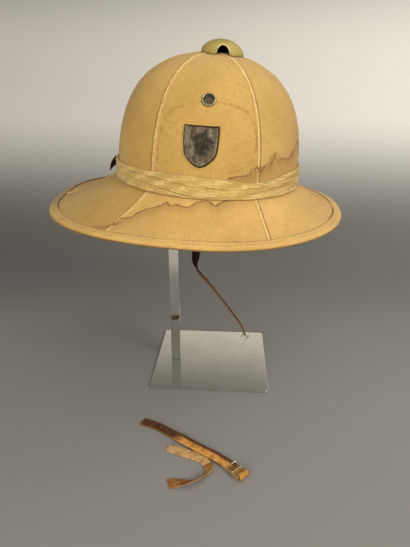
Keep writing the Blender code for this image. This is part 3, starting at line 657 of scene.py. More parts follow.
class NodeWork:
    """Adds nodes to one material and joins them."""

    def __init__(self, name: str) -> None:
        """Start a material with its Principled shader."""
        self.material = bpy.data.materials.new(name)
        self.material.use_nodes = True
        self.nodes = self.material.node_tree.nodes
        self.links = self.material.node_tree.links
        self.shader = self.nodes["Principled BSDF"]

    def join(self, node: bpy.types.Node, socket: Union[int, str], value: Value) -> None:
        """Link a socket to the node's input, or set a plain value on it."""
        target = node.inputs[socket]
        if isinstance(value, bpy.types.NodeSocket):
            self.links.new(value, target)
        else:
            target.default_value = value

    def add(self, kind: str, inputs: dict, **settings: object) -> bpy.types.Node:
        """A node of a kind, with its settings made and its inputs joined.

        Args:
            kind: Blender's name of the node, without "ShaderNode".
            inputs: Values or sockets for its inputs.
            settings: Its other properties.

        Returns:
            The node.
        """
        node = self.nodes.new("ShaderNode" + kind)
        for key, value in settings.items():
            setattr(node, key, value)
        for key, value in inputs.items():
            self.join(node, key, value)
        return node

    def math(self, operation: str, first: Value, second: Value = 0.0, clamp: bool = False) -> bpy.types.NodeSocket:
        """Result of a sum on one or two numbers."""
        node = self.add("Math", {0: first, 1: second}, operation=operation, use_clamp=clamp)
        return node.outputs[0]

    def step(self, value: Value, low: float, high: float, start: float = 0.0, end: float = 1.0) -> bpy.types.NodeSocket:
        """A smooth step of the value, from start at low to end at high."""
        inputs = {"Value": value, "From Min": low, "From Max": high, "To Min": start, "To Max": end}
        return self.add("MapRange", inputs, interpolation_type="SMOOTHSTEP").outputs[0]

    def mix(self, share: Value, first: Value, second: Value, blend: str = "MIX") -> bpy.types.NodeSocket:
        """A mix of two colours."""
        node = self.add("Mix", {0: share, 6: first, 7: second}, data_type="RGBA", blend_type=blend)
        return node.outputs[2]

    def place(self, stretch: tuple[float, float, float] = (1.0, 1.0, 1.0)) -> bpy.types.NodeSocket:
        """Object coordinates, stretched."""
        where = self.add("TexCoord", {}).outputs["Object"]
        return self.add("Mapping", {"Vector": where, "Scale": stretch}).outputs[0]

    def cloth(self, stretch: tuple[float, float, float] = (1.0, 1.0, 1.0)) -> bpy.types.NodeSocket:
        """The piece's own coordinates in metres, stretched."""
        where = self.add("UVMap", {}, uv_map="cloth").outputs[0]
        return self.add("Mapping", {"Vector": where, "Scale": stretch}).outputs[0]

    def noise(self, where: Value, scale: float, detail: float = 3.0, rough: float = 0.55) -> bpy.types.NodeSocket:
        """Soft noise about 0.5."""
        inputs = {"Vector": where, "Scale": scale, "Detail": detail, "Roughness": rough}
        return self.add("TexNoise", inputs).outputs[0]

    def cells(self, where: Value, scale: float, feature: str = "F1") -> bpy.types.NodeSocket:
        """Distances in a pattern of cells."""
        return self.add("TexVoronoi", {"Vector": where, "Scale": scale}, feature=feature).outputs[0]

    def mark(self, name: str) -> bpy.types.NodeSocket:
        """A float attribute of the piece."""
        return self.add("Attribute", {}, attribute_name=name).outputs["Fac"]

    def bump(self, height: Value, depth: float, strength: float = 1.0, below: Optional[Value] = None) -> bpy.types.NodeSocket:
        """A relief of a depth in metres, over another if one is given."""
        inputs = {"Height": height, "Distance": depth, "Strength": strength}
        if below is not None:
            inputs["Normal"] = below
        return self.add("Bump", inputs).outputs[0]

    def weave(self, pitch: float) -> bpy.types.NodeSocket:
        """Plain weave on the piece's own coordinates: over and under threads, each with a round back.

        Args:
            pitch: Distance from one thread to the next in metres.

        Returns:
            Height from 0 to 1: |sin(pi u)| where the warp is on top and |sin(pi v)| where the weft is.
        """
        parts = self.add("SeparateXYZ", {0: self.cloth((1 / pitch, 1 / pitch, 1.0))}).outputs
        backs = [self.math("ABSOLUTE", self.math("SINE", self.math("MULTIPLY", part, math.pi))) for part in parts[:2]]
        count = self.math("ADD", self.math("FLOOR", parts[0]), self.math("FLOOR", parts[1]))
        over = self.math("PINGPONG", count, 1.0)
        across = self.math("MULTIPLY", self.math("MULTIPLY", backs[0], over), self.step(backs[1], 0.0, 1.0, 0.5, 1.0))
        other = self.math("SUBTRACT", 1.0, over)
        down = self.math("MULTIPLY", self.math("MULTIPLY", backs[1], other), self.step(backs[0], 0.0, 1.0, 0.5, 1.0))
        return self.math("ADD", across, down)

    def finish(
        self, colour: Value, roughness: Value, normal: Optional[Value] = None, **plain: float
    ) -> bpy.types.Material:
        """Join the shader's main inputs, set the plain ones, and give the material.

        Args:
            colour: Base colour.
            roughness: Roughness.
            normal: Relief, if any.
            plain: Other inputs, with "_" for each space in their names.

        Returns:
            The material.
        """
        self.join(self.shader, "Base Color", colour)
        self.join(self.shader, "Roughness", roughness)
        if normal is not None:
            self.join(self.shader, "Normal", normal)
        for key, value in plain.items():
            self.shader.inputs[key.replace("_", " ")].default_value = value
        return self.material


@dataclass(frozen=True)
class CanvasFinish:
    """Plain-weave cotton, sun-faded, with tide lines, brown washes, slubs, dark specks and darkened creases, and
    painted shade, highlights and shadow gaps read from its marks.
    """

    name: str
    light: tuple[float, float, float]
    dark: tuple[float, float, float]
    stain: tuple[float, float, float] = (0.24, 0.105, 0.032)
    pitch: float = 0.0007
    line_strength: float = 0.92
    wash_strength: float = 0.16
    # under: colour of the painted shade on the binding's turned-under side, read from the "gloom" mark
    under: tuple[float, float, float] = (0.22, 0.125, 0.022)
    # rubbed: colour of the painted highlights on the seam tops, the hatband's crease crests and the binding's crest and
    # edge, read from the "pale" mark
    rubbed: tuple[float, float, float] = (0.88, 0.63, 0.25)
    # fold: colour of the "seam" mark: painted shadow under the hatband's folds and along its foot, and darker creases
    # beside the seams and in the binding
    fold: tuple[float, float, float] = (0.16, 0.085, 0.025)
    fleck: tuple[float, float, float] = (0.0, 0.0, 0.0)

    def material(self) -> bpy.types.Material:
        """The cloth's material."""
        work = NodeWork(self.name)
        place = work.place()
        weave = work.weave(self.pitch)
        clouds = work.step(work.noise(place, 14.0, 5.0, 0.6), 0.30, 0.72)
        colour = work.mix(clouds, rgba(self.dark), rgba(self.light))
        warp = work.noise(work.cloth((1800.0, 90.0, 1.0)), 1.0, 3.0, 0.6)
        weft = work.noise(work.cloth((90.0, 1800.0, 1.0)), 1.0, 3.0, 0.6)
        slubs = work.step(work.math("ADD", warp, weft), 0.75, 1.25, 0.84, 1.12)
        # The "shade" mark: painted shade and light, gore by gore on the crown and brim and round the binding, lighter
        # where negative, and uneven tone on the hatband; it darkens by 1 - shade, and blue by its square.
        lit = work.math("SUBTRACT", 1.0, work.mark("shade"))
        threads = work.math("MULTIPLY", work.math("MULTIPLY", slubs, lit), work.step(weave, 0.0, 0.9, 0.84, 1.04))
        shaded_blue = work.math("MULTIPLY", threads, lit)
        grey = work.add("CombineColor", {0: threads, 1: threads, 2: shaded_blue}).outputs[0]
        colour = work.mix(1.0, colour, grey, "MULTIPLY")
        # painted highlight along seam tops, hatband crease crests and the binding's crest and edge
        painted_highlight = work.math("MULTIPLY", work.mark("pale"), work.step(work.noise(place, 230.0, 3.0), 0.32, 0.58, 0.35, 1.0))
        colour = work.mix(painted_highlight, colour, rgba(self.rubbed))
        # painted shade on the binding's turned-under side
        colour = work.mix(work.mark("gloom"), colour, rgba(self.under))
        soft = work.math("MULTIPLY", work.math("SUBTRACT", work.noise(place, 120.0, 3.0), 0.5), 0.006)
        sharp = work.math("MULTIPLY", work.math("SUBTRACT", work.noise(place, 520.0, 2.0), 0.5), 0.0016)
        ragged = work.math("ADD", soft, sharp)
        tide = work.math("ADD", work.mark("tide"), ragged)
        ring = work.math("ADD", work.mark("ring"), ragged)
        patchy = work.step(work.noise(place, 60.0, 3.0), 0.32, 0.55, 0.5, 1.0)
        edge = work.step(work.math("ABSOLUTE", tide), 0.0002, 0.0015, self.line_strength, 0.0)
        inner = work.step(tide, -0.013, 0.0, 0.0, 0.66)
        halo = work.math("MULTIPLY", inner, work.step(tide, 0.0, 0.0010, 1.0, 0.0))
        streaks = work.step(weft, 0.40, 0.62, 0.55, 1.0)
        soaked_far = work.step(tide, -0.050, -0.010, 0.0, self.wash_strength)
        wash = work.math("MULTIPLY", work.math("MULTIPLY", soaked_far, work.step(tide, 0.0, 0.001, 1.0, 0.0)), streaks)
        faint = work.step(work.math("ABSOLUTE", ring), 0.0002, 0.0015, 0.42, 0.0)
        lines = work.math("MULTIPLY", work.math("MAXIMUM", edge, faint), patchy)
        seeped = work.math("MULTIPLY", work.math("MULTIPLY", halo, 0.62), streaks)
        soaked = work.math("ADD", work.math("MAXIMUM", lines, seeped), wash, clamp=True)
        colour = work.mix(soaked, colour, rgba(self.stain))
        spots = work.step(work.noise(place, 340.0, 2.0), 0.66, 0.74, 0.0, 0.35)
        colour = work.mix(spots, colour, rgba(tuple(0.5 * part for part in self.dark)))
        # darker along the "seam" mark: painted shadow under the hatband's folds, darker creases beside seams and in the
        # binding
        crease_darkening = work.step(work.noise(place, 190.0, 3.0), 0.30, 0.60, 0.60, 1.0)
        colour = work.mix(work.math("MULTIPLY", work.mark("seam"), crease_darkening), colour, rgba(self.fold))
        # painted shadow gap, near black, along the binding's inner edge, read from the "worn" mark
        painted_shadow_gap = work.math("MULTIPLY", work.mark("worn"), work.step(work.noise(place, 260.0, 4.0), 0.24, 0.38))
        colour = work.mix(painted_shadow_gap, colour, rgba((0.030, 0.018, 0.012)))
        apart = work.add("VectorMath", {0: place, 1: self.fleck}, operation="DISTANCE").outputs["Value"]
        colour = work.mix(work.step(apart, 0.0005, 0.0008, 1.0, 0.0), colour, rgba((0.86, 0.84, 0.78)))
        relief = work.bump(work.noise(place, 260.0, 4.0), 0.0003, 0.5)
        relief = work.bump(weave, 0.0002, 0.75, relief)
        rough = work.step(clouds, 0.0, 1.0, 0.93, 0.84)
        return work.finish(colour, rough, relief, Sheen_Weight=0.12, Sheen_Roughness=0.6, Specular_IOR_Level=0.25)


@dataclass(frozen=True)
class LeatherFinish:
    """Worn strap leather: dark grain side, rubbed orange-brown at its edges, painted orange-brown light where its "lit"
    mark says, with fine creases.
    """

    name: str
    dark: tuple[float, float, float]
    middle: tuple[float, float, float]
    # rubbed: colour of rubbed edges, and of the painted light from the "lit" mark
    rubbed: tuple[float, float, float]
    flesh: tuple[float, float, float] = (0.50, 0.33, 0.18)
    gloss: float = 0.42
    rubbing: float = 0.6
    specular: float = 0.5

    def material(self) -> bpy.types.Material:
        """The leather's material, which reads the marks "lit", "edge" and "flesh"."""
        work = NodeWork(self.name)
        place = work.place()
        blotches = work.step(work.noise(place, 190.0, 5.0, 0.70), 0.36, 0.62)
        base = work.mix(blotches, rgba(self.dark), rgba(self.middle))
        # painted light: the "lit" mark lightens the leather towards the rubbed colour
        lit = work.math("MULTIPLY", work.mark("lit"), work.step(blotches, 0.0, 0.8, 0.55, 1.0))
        base = work.mix(lit, base, rgba(self.rubbed))
        scuffs = work.step(work.noise(work.cloth((160.0, 1400.0, 1.0)), 1.0, 4.0, 0.7), 0.52, 0.72, 0.0, 0.7)
        rub = work.math("MULTIPLY", work.mark("edge"), self.rubbing)
        wear = work.math("MULTIPLY", scuffs, work.math("ADD", rub, 0.15), clamp=True)
        base = work.mix(work.math("ADD", work.math("MULTIPLY", rub, 0.35), wear, clamp=True), base, rgba(self.rubbed))
        fibres = work.step(work.noise(place, 900.0, 4.0, 0.7), 0.35, 0.7, 0.75, 1.1)
        hide = work.add("CombineColor", {0: fibres, 1: fibres, 2: fibres}).outputs[0]
        raw = work.mix(1.0, rgba(self.flesh), hide, "MULTIPLY")
        stains = work.step(work.noise(place, 220.0, 4.0, 0.6), 0.50, 0.62, 0.0, 0.7)
        raw = work.mix(stains, raw, rgba(tuple(0.42 * part for part in self.flesh)))
        bare = work.step(work.math("ADD", work.mark("flesh"), work.math("MULTIPLY", work.noise(place, 300.0), 0.3)), 0.5, 0.75)
        colour = work.mix(bare, base, raw)
        grain = work.cells(place, 1500.0)
        relief = work.bump(work.noise(place, 420.0, 4.0), 0.0004, 0.55)
        relief = work.bump(grain, 0.00012, 0.6, relief)
        rough = work.math("ADD", work.step(blotches, 0.0, 1.0, self.gloss, self.gloss + 0.16), work.math("MULTIPLY", bare, 0.35), clamp=True)
        return work.finish(colour, rough, relief, Specular_IOR_Level=self.specular)


@dataclass(frozen=True)
class PaintFinish:
    """Satin paint on pressed metal: fine scratches, a few chips, painted shadow at its foot, painted highlights round
    its openings, and an inside painted near black as shade.
    """

    name: str
    colour: tuple[float, float, float] = (0.32, 0.240, 0.058)
    faded: tuple[float, float, float] = (0.40, 0.305, 0.084)

    def material(self) -> bpy.types.Material:
        """The painted metal's material."""
        work = NodeWork(self.name)
        place = work.place()
        clouds = work.step(work.noise(place, 60.0, 5.0), 0.35, 0.68)
        colour = work.mix(clouds, rgba(self.colour), rgba(self.faded))
        scratches = work.step(work.noise(work.place((60.0, 1100.0, 500.0)), 1.0, 2.0), 0.66, 0.70, 0.0, 0.35)
        colour = work.mix(scratches, colour, rgba((0.55, 0.46, 0.22)))
        chips = work.step(work.noise(place, 330.0, 3.0, 0.6), 0.68, 0.71, 0.0, 0.7)
        colour = work.mix(chips, colour, rgba((0.13, 0.10, 0.05)))
        # painted contact shadow along the cap's lower edge and its lip between the openings, where they sit on the
        # crown
        rim = work.math("MULTIPLY", work.mark("edge"), work.step(work.noise(place, 240.0, 3.0), 0.40, 0.6))
        colour = work.mix(rim, colour, rgba((0.17, 0.12, 0.045)))
        # painted highlight on the lip round the openings, read from the "bright" mark
        rubbed = work.math("MULTIPLY", work.mark("bright"), work.step(work.noise(place, 300.0, 3.0), 0.30, 0.5, 0.5, 1.0))
        colour = work.mix(rubbed, colour, rgba((0.66, 0.54, 0.26)))
        # painted shade: the cap's inside near black
        colour = work.mix(work.mark("inside"), colour, rgba((0.006, 0.005, 0.005)))
        relief = work.bump(work.noise(place, 500.0, 2.0), 0.0001, 0.5)
        relief = work.bump(chips, -0.0001, 0.8, relief)
        rough = work.step(clouds, 0.0, 1.0, 0.50, 0.62)
        return work.finish(colour, rough, relief, Specular_IOR_Level=0.35)


@dataclass(frozen=True)
class MetalFinish:
    """Old metal: bright where it is rubbed, dull and brown where it is tarnished, with a fine grain."""

    name: str
    bright: tuple[float, float, float]
    tarnish: tuple[float, float, float]
    amount: float = 0.5
    scale: float = 500.0
    shine: float = 0.28

    def material(self) -> bpy.types.Material:
        """The metal's material."""
        work = NodeWork(self.name)
        place = work.place()
        clouds = work.noise(place, self.scale, 4.0, 0.65)
        dull = work.step(clouds, 0.62 - 0.3 * self.amount, 0.78 - 0.3 * self.amount)
        pits = work.step(work.noise(place, 4.0 * self.scale, 2.0), 0.60, 0.70)
        colour = work.mix(dull, rgba(self.bright), rgba(self.tarnish))
        grime = rgba(tuple(0.4 * part for part in self.tarnish))
        colour = work.mix(work.math("MULTIPLY", pits, 0.5), colour, grime)
        colour = work.mix(work.mark("edge"), colour, grime)
        relief = work.bump(clouds, 0.0001, 0.6)
        relief = work.bump(pits, -0.00008, 0.8, relief)
        return work.finish(colour, work.step(dull, 0.0, 1.0, self.shine, self.shine + 0.32), relief, Metallic=0.92)


@dataclass(frozen=True)
class ShieldFinish:
    """Worn plating on a bare pressed shield: a silver-brown field clouded by dark tarnish, scratches, a brown rim."""

    name: str = "tarnished_shield"
    silver: tuple[float, float, float] = (0.30, 0.24, 0.155)
    brown: tuple[float, float, float] = (0.115, 0.078, 0.046)
    dark: tuple[float, float, float] = (0.042, 0.038, 0.029)
    rim: tuple[float, float, float] = (0.042, 0.020, 0.008)

    def material(self) -> bpy.types.Material:
        """The shield's material, which reads the marks "patch" and "edge"."""
        work = NodeWork(self.name)
        place = work.place()
        clouds = work.step(work.noise(work.place((210.0, 210.0, 95.0)), 1.0, 5.0, 0.62), 0.36, 0.64)
        colour = work.mix(clouds, rgba(self.brown), rgba(self.silver))
        uneven = work.math("MULTIPLY", work.math("SUBTRACT", work.noise(place, 95.0, 6.0, 0.62), 0.5), 2.6)
        worn = work.step(work.math("ADD", work.mark("patch"), uneven), 0.25, 0.80, 0.0, 0.92)
        colour = work.mix(worn, colour, rgba(self.dark))
        scratch_one = work.step(work.noise(work.place((130.0, 130.0, 2400.0)), 1.0, 2.0), 0.61, 0.69, 0.0, 0.5)
        scratch_two = work.step(work.noise(work.place((2200.0, 90.0, 260.0)), 1.0, 3.0), 0.60, 0.68, 0.0, 0.8)
        bare = work.math("SUBTRACT", 1.0, work.math("MULTIPLY", worn, 0.75))
        scratches = work.math("MULTIPLY", work.math("MAXIMUM", scratch_one, scratch_two), bare)
        colour = work.mix(scratches, colour, rgba((0.56, 0.49, 0.37)))
        rough_edge = work.math("MULTIPLY", work.math("SUBTRACT", work.noise(place, 320.0, 4.0, 0.6), 0.5), 0.5)
        rim = work.step(work.math("ADD", work.mark("edge"), rough_edge), 0.40, 0.80)
        colour = work.mix(rim, colour, rgba(self.rim))
        relief = work.bump(work.noise(place, 240.0, 4.0), 0.0005, 0.6)
        relief = work.bump(scratches, -0.0001, 0.7, relief)
        rough = work.math("ADD", work.step(clouds, 0.0, 1.0, 0.46, 0.36), work.math("MULTIPLY", worn, 0.12))
        return work.finish(colour, rough, relief, Metallic=0.6, Specular_IOR_Level=0.3)


@dataclass(frozen=True)
class SteelFinish:
    """Mirror-polished steel with wiping marks, fine hairlines and a few finger smears."""

    name: str = "polished_steel"
    colour: tuple[float, float, float] = (0.80, 0.79, 0.745)

    def material(self) -> bpy.types.Material:
        """The steel's material."""
        work = NodeWork(self.name)
        place = work.place()
        smears = work.step(work.noise(place, 26.0, 4.0, 0.6), 0.42, 0.70)
        hairs = work.step(work.noise(work.place((26.0, 2400.0, 2400.0)), 1.0, 2.0), 0.60, 0.72)
        shade = work.mix(work.math("MULTIPLY", smears, 0.5), rgba(self.colour), rgba((0.66, 0.65, 0.61)))
        dust = work.step(work.noise(place, 900.0, 2.0), 0.70, 0.74, 0.0, 0.25)
        shade = work.mix(dust, shade, rgba((0.72, 0.70, 0.66)))
        rough = work.math("ADD", work.step(smears, 0.0, 1.0, 0.045, 0.11), work.math("MULTIPLY", hairs, 0.04))
        relief = work.bump(work.noise(place, 14.0, 2.0), 0.0002, 0.25)
        relief = work.bump(hairs, 0.00001, 0.3, relief)
        return work.finish(shade, rough, relief, Metallic=1.0)


@dataclass(frozen=True)
class PaperFinish:
    """Matt grey studio paper with painted light and shade in its colour: darker from behind the helmet on, brighter on
    the floor in front, brighter up the wall, darker again high up, and darker to the left.
    """

    name: str = "studio_paper"
    colour: tuple[float, float, float] = (0.254, 0.245, 0.223)
    bend_shade: float = 0.68
    wall_painted_light: float = 4.1
    upper_shade: float = 0.28
    front_painted_light: float = 1.9

    def material(self) -> bpy.types.Material:
        """The paper's material."""
        work = NodeWork(self.name)
        fibre = work.step(work.noise(work.place(), 700.0, 4.0), 0.3, 0.7, 0.96, 1.03)
        parts = work.add("SeparateXYZ", {0: work.place()}).outputs
        # painted shade from behind the helmet back, painted light on the floor in front and up the wall, painted shade
        # high up and to the left
        floor = work.step(parts[1], -0.10, 0.36, 1.0, self.bend_shade)
        front = work.step(parts[1], -0.44, -0.29, self.front_painted_light, 1.0)
        wall = work.step(parts[2], 0.0, 0.28, 1.0, self.wall_painted_light)
        upper = work.step(parts[2], 0.45, 0.85, 1.0, self.upper_shade)
        aside = work.step(parts[0], -0.7, 0.7, 0.94, 1.07)
        shade = fibre
        for part in (floor, front, wall, upper, aside):
            shade = work.math("MULTIPLY", shade, part)
        grey = work.add("CombineColor", {0: shade, 1: shade, 2: shade}).outputs[0]
        colour = work.mix(1.0, rgba(self.colour), grey, "MULTIPLY")
        return work.finish(colour, 0.9, work.bump(fibre, 0.0002, 0.3), Specular_IOR_Level=0.15)


@dataclass
class Finishes:
    """Every material of the scene, made once."""

    canvas: bpy.types.Material = field(default_factory=lambda: CanvasFinish(
        "khaki_canvas", (0.635, 0.385, 0.104), (0.525, 0.308, 0.078),
        fleck=tuple(FORM.world(np.array((0.0764, -0.1174, -0.0280))))).material())
    band: bpy.types.Material = field(default_factory=lambda: CanvasFinish(
        "band_canvas", (0.595, 0.398, 0.128), (0.48, 0.31, 0.09), pitch=0.0008).material())
    thread: bpy.types.Material = field(default_factory=lambda: CanvasFinish(
        "seam_thread", (0.84, 0.59, 0.24), (0.68, 0.46, 0.16), pitch=0.0003).material())
    paint: bpy.types.Material = field(default_factory=lambda: PaintFinish("khaki_paint").material())
    brass: bpy.types.Material = field(default_factory=lambda: MetalFinish(
        "aged_brass", (0.58, 0.50, 0.25), (0.26, 0.20, 0.08), 0.35, 500.0, 0.42).material())
    buckle: bpy.types.Material = field(default_factory=lambda: MetalFinish(
        "buckle_brass", (0.80, 0.72, 0.50), (0.34, 0.27, 0.15), 0.35).material())
    wire: bpy.types.Material = field(default_factory=lambda: MetalFinish(
        "wire_mesh", (0.42, 0.42, 0.30), (0.17, 0.18, 0.115), 0.5, 900.0, 0.5).material())
    shield: bpy.types.Material = field(default_factory=lambda: ShieldFinish().material())
    leather: bpy.types.Material = field(default_factory=lambda: LeatherFinish(
        "brown_leather", (0.045, 0.015, 0.005), (0.12, 0.042, 0.012), (0.64, 0.29, 0.062),
        (0.45, 0.25, 0.10), 0.42, 0.6, 0.35).material())
    # a darker copy of the strap leather: painted shade for the hanging and front straps
    shaded_leather: bpy.types.Material = field(default_factory=lambda: LeatherFinish(
        "shaded_brown_leather", (0.007, 0.0028, 0.0012), (0.020, 0.0072, 0.003), (0.20, 0.080, 0.025),
        (0.30, 0.17, 0.08), 0.55, 0.3, 0.15).material())
    suede: bpy.types.Material = field(default_factory=lambda: LeatherFinish(
        "torn_leather", (0.07, 0.026, 0.008), (0.21, 0.088, 0.026), (0.55, 0.25, 0.07),
        (0.60, 0.36, 0.145), 0.6, 0.8, 0.25).material())
    steel: bpy.types.Material = field(default_factory=lambda: SteelFinish().material())
    paper: bpy.types.Material = field(default_factory=lambda: PaperFinish().material())


# The helmet's pieces


@dataclass
class Crown:
    """The six-gore shell with its fell seams, their stitches, and holes for the vent and the eyelets."""

    rows: int = 118
    inner_rows: int = 40
    relief: float = 0.00012
    stitch_pitch: float = 0.0029
    stitch_length: float = 0.0022
    thread: float = 0.00033
    stitch_offset: float = 0.0013
    eyelet_x: float = 0.0009
    eyelet_height: float = 0.0942
    eyelet_cut: float = 0.0063
    highest_stitch: float = 0.1180

    def outer(self) -> tuple[Surface, np.ndarray]:
        """The cover: the dome grown by the seams' ridges and a gentle relief.

        Returns:
            The grid in the helmet's frame, and its normals.
        """
        turns = FORM.even_turns(self.rows, FORM.hole_turn(FORM.half_length))
        spread = np.cos(turns) ** FORM.waist_power

        def pace(angles: np.ndarray, rows: np.ndarray) -> np.ndarray:
            """Metres per radian round the dome at each row."""
            oval = np.hypot(FORM.half_length * np.sin(angles), FORM.half_width * np.cos(angles))
            return oval * spread[rows][:, None]

        angles, apart, gores = SEAMS.columns(SEAMS.crown, SEAMS.crown, np.zeros(self.rows), pace)
        base = FORM.dome(angles, turns[:, None])
        normals = normals_of(base)
        normals *= np.where((normals * base).sum(axis=-1, keepdims=True) < 0, -1.0, 1.0)
        pucker = 1.0 + 0.25 * ripples(base, (0.007, 0.011), 3)
        lift = SEAMS.ridge(apart) * pucker + self.relief * ripples(base, (0.03, 0.05, 0.09), 5)
        points = base + normals * lift[..., None]
        centres = np.radians((np.array(SEAMS.crown) + np.array(SEAMS.crown[1:] + (360.0,))) / 2)
        run = np.concatenate([[0.0], np.cumsum(np.linalg.norm(np.diff(base[:, 0], axis=0), axis=1))])
        closed = np.concatenate([angles, angles[:, :1] + FULL_TURN], axis=1)
        sides = [(edge - centres[gores]) * pace(edge, np.arange(self.rows)) for edge in (closed[:, :-1], closed[:, 1:])]
        heights = np.broadcast_to(run[:, None], sides[0].shape)
        uv = np.stack([np.stack([side, heights], axis=-1) for side in sides], axis=2)
        marks = {**STAINS.crown_marks(base), **SEAMS.gore_marks(apart, gores, SEAMS.crown_shades)}
        return Surface(points, round_columns=True, uv=uv, marks=marks), normals

    def build(self, finishes: Finishes) -> None:
        """Make the shell and its seam stitches."""
        cover, normals = self.outer()
        columns = cover.points.shape[1]
        angles = np.arctan2(cover.points[0, :, 1] / FORM.half_width, cover.points[0, :, 0] / FORM.half_length)
        turns = FORM.even_turns(self.inner_rows, FORM.hole_turn(FORM.half_length - FORM.wall))[::-1]
        inside = FORM.dome(angles[None, :], turns[:, None], -FORM.wall)
        points = np.concatenate([cover.points, inside])
        across = np.linspace(0.0, 0.6, columns + 1)[None, :]
        run = np.linspace(0.0, 0.18, self.inner_rows + 1)[:, None]
        uv = np.concatenate([cover.uv, plain_uv(across, run)])
        clean = plain_marks(cover.marks, inside.shape[:2])
        marks = {name: np.concatenate([values, clean[name]]) for name, values in cover.marks.items()}
        shell = Surface(FORM.world(points), round_rows=True, round_columns=True, uv=uv, marks=marks)
        crown = add_piece("crown_shell", [shell], finishes.canvas, ("crown",))
        self.cut_eyelets(crown)
        self.stitch(cover, normals, finishes)

    def cut_eyelets(self, crown: bpy.types.Object) -> None:
        """Cut the two round holes that the eyelets go through."""
        cutters = []
        for side in (-1, 1):
            matrix = FORM.matrix() @ FORM.dome_frame(self.eyelet_x, self.eyelet_height, side)
            deep = 4 * FORM.wall
            profile = np.array([(0.0, -deep), (self.eyelet_cut, -deep), (self.eyelet_cut, deep), (0.0, deep)])
            mesh = make_mesh("eyelet_cutter", [turned(profile, 40, matrix)], 40.0)
            cutter = bpy.data.objects.new("eyelet_cutter", mesh)
            bpy.context.scene.collection.objects.link(cutter)
            hole = crown.modifiers.new("eyelet_hole", "BOOLEAN")
            hole.operation = "DIFFERENCE"
            hole.solver = "EXACT"
            hole.object = cutter
            cutters.append(cutter)
        shaped = crown.evaluated_get(bpy.context.evaluated_depsgraph_get())
        mesh = bpy.data.meshes.new_from_object(shaped)
        crown.modifiers.clear()
        crown.data = mesh
        for cutter in cutters:
            bpy.data.objects.remove(cutter, do_unlink=True)

    def stitch(self, cover: Surface, normals: np.ndarray, finishes: Finishes) -> None:
        """Two rows of stitches along each seam, from the hatband to the vent."""
        per_gore = cover.points.shape[1] // len(SEAMS.crown)
        near = int(np.argmin(np.abs(np.array(SEAMS.offsets) - self.stitch_offset / MM)))
        stitches: list[Surface] = []
        kept = cover.points[:, 0, 2] < self.highest_stitch
        for gore in range(len(SEAMS.crown)):
            for shift in (near, -near):
                column = (gore * per_gore + shift) % cover.points.shape[1]
                path = cover.points[kept, column]
                stitches += stitch_row(path, normals[kept, column], self.stitch_pitch, self.stitch_length, self.thread)
        for stitch in stitches:
            stitch.points = FORM.world(stitch.points)
        add_piece("crown_stitches", stitches, finishes.thread)


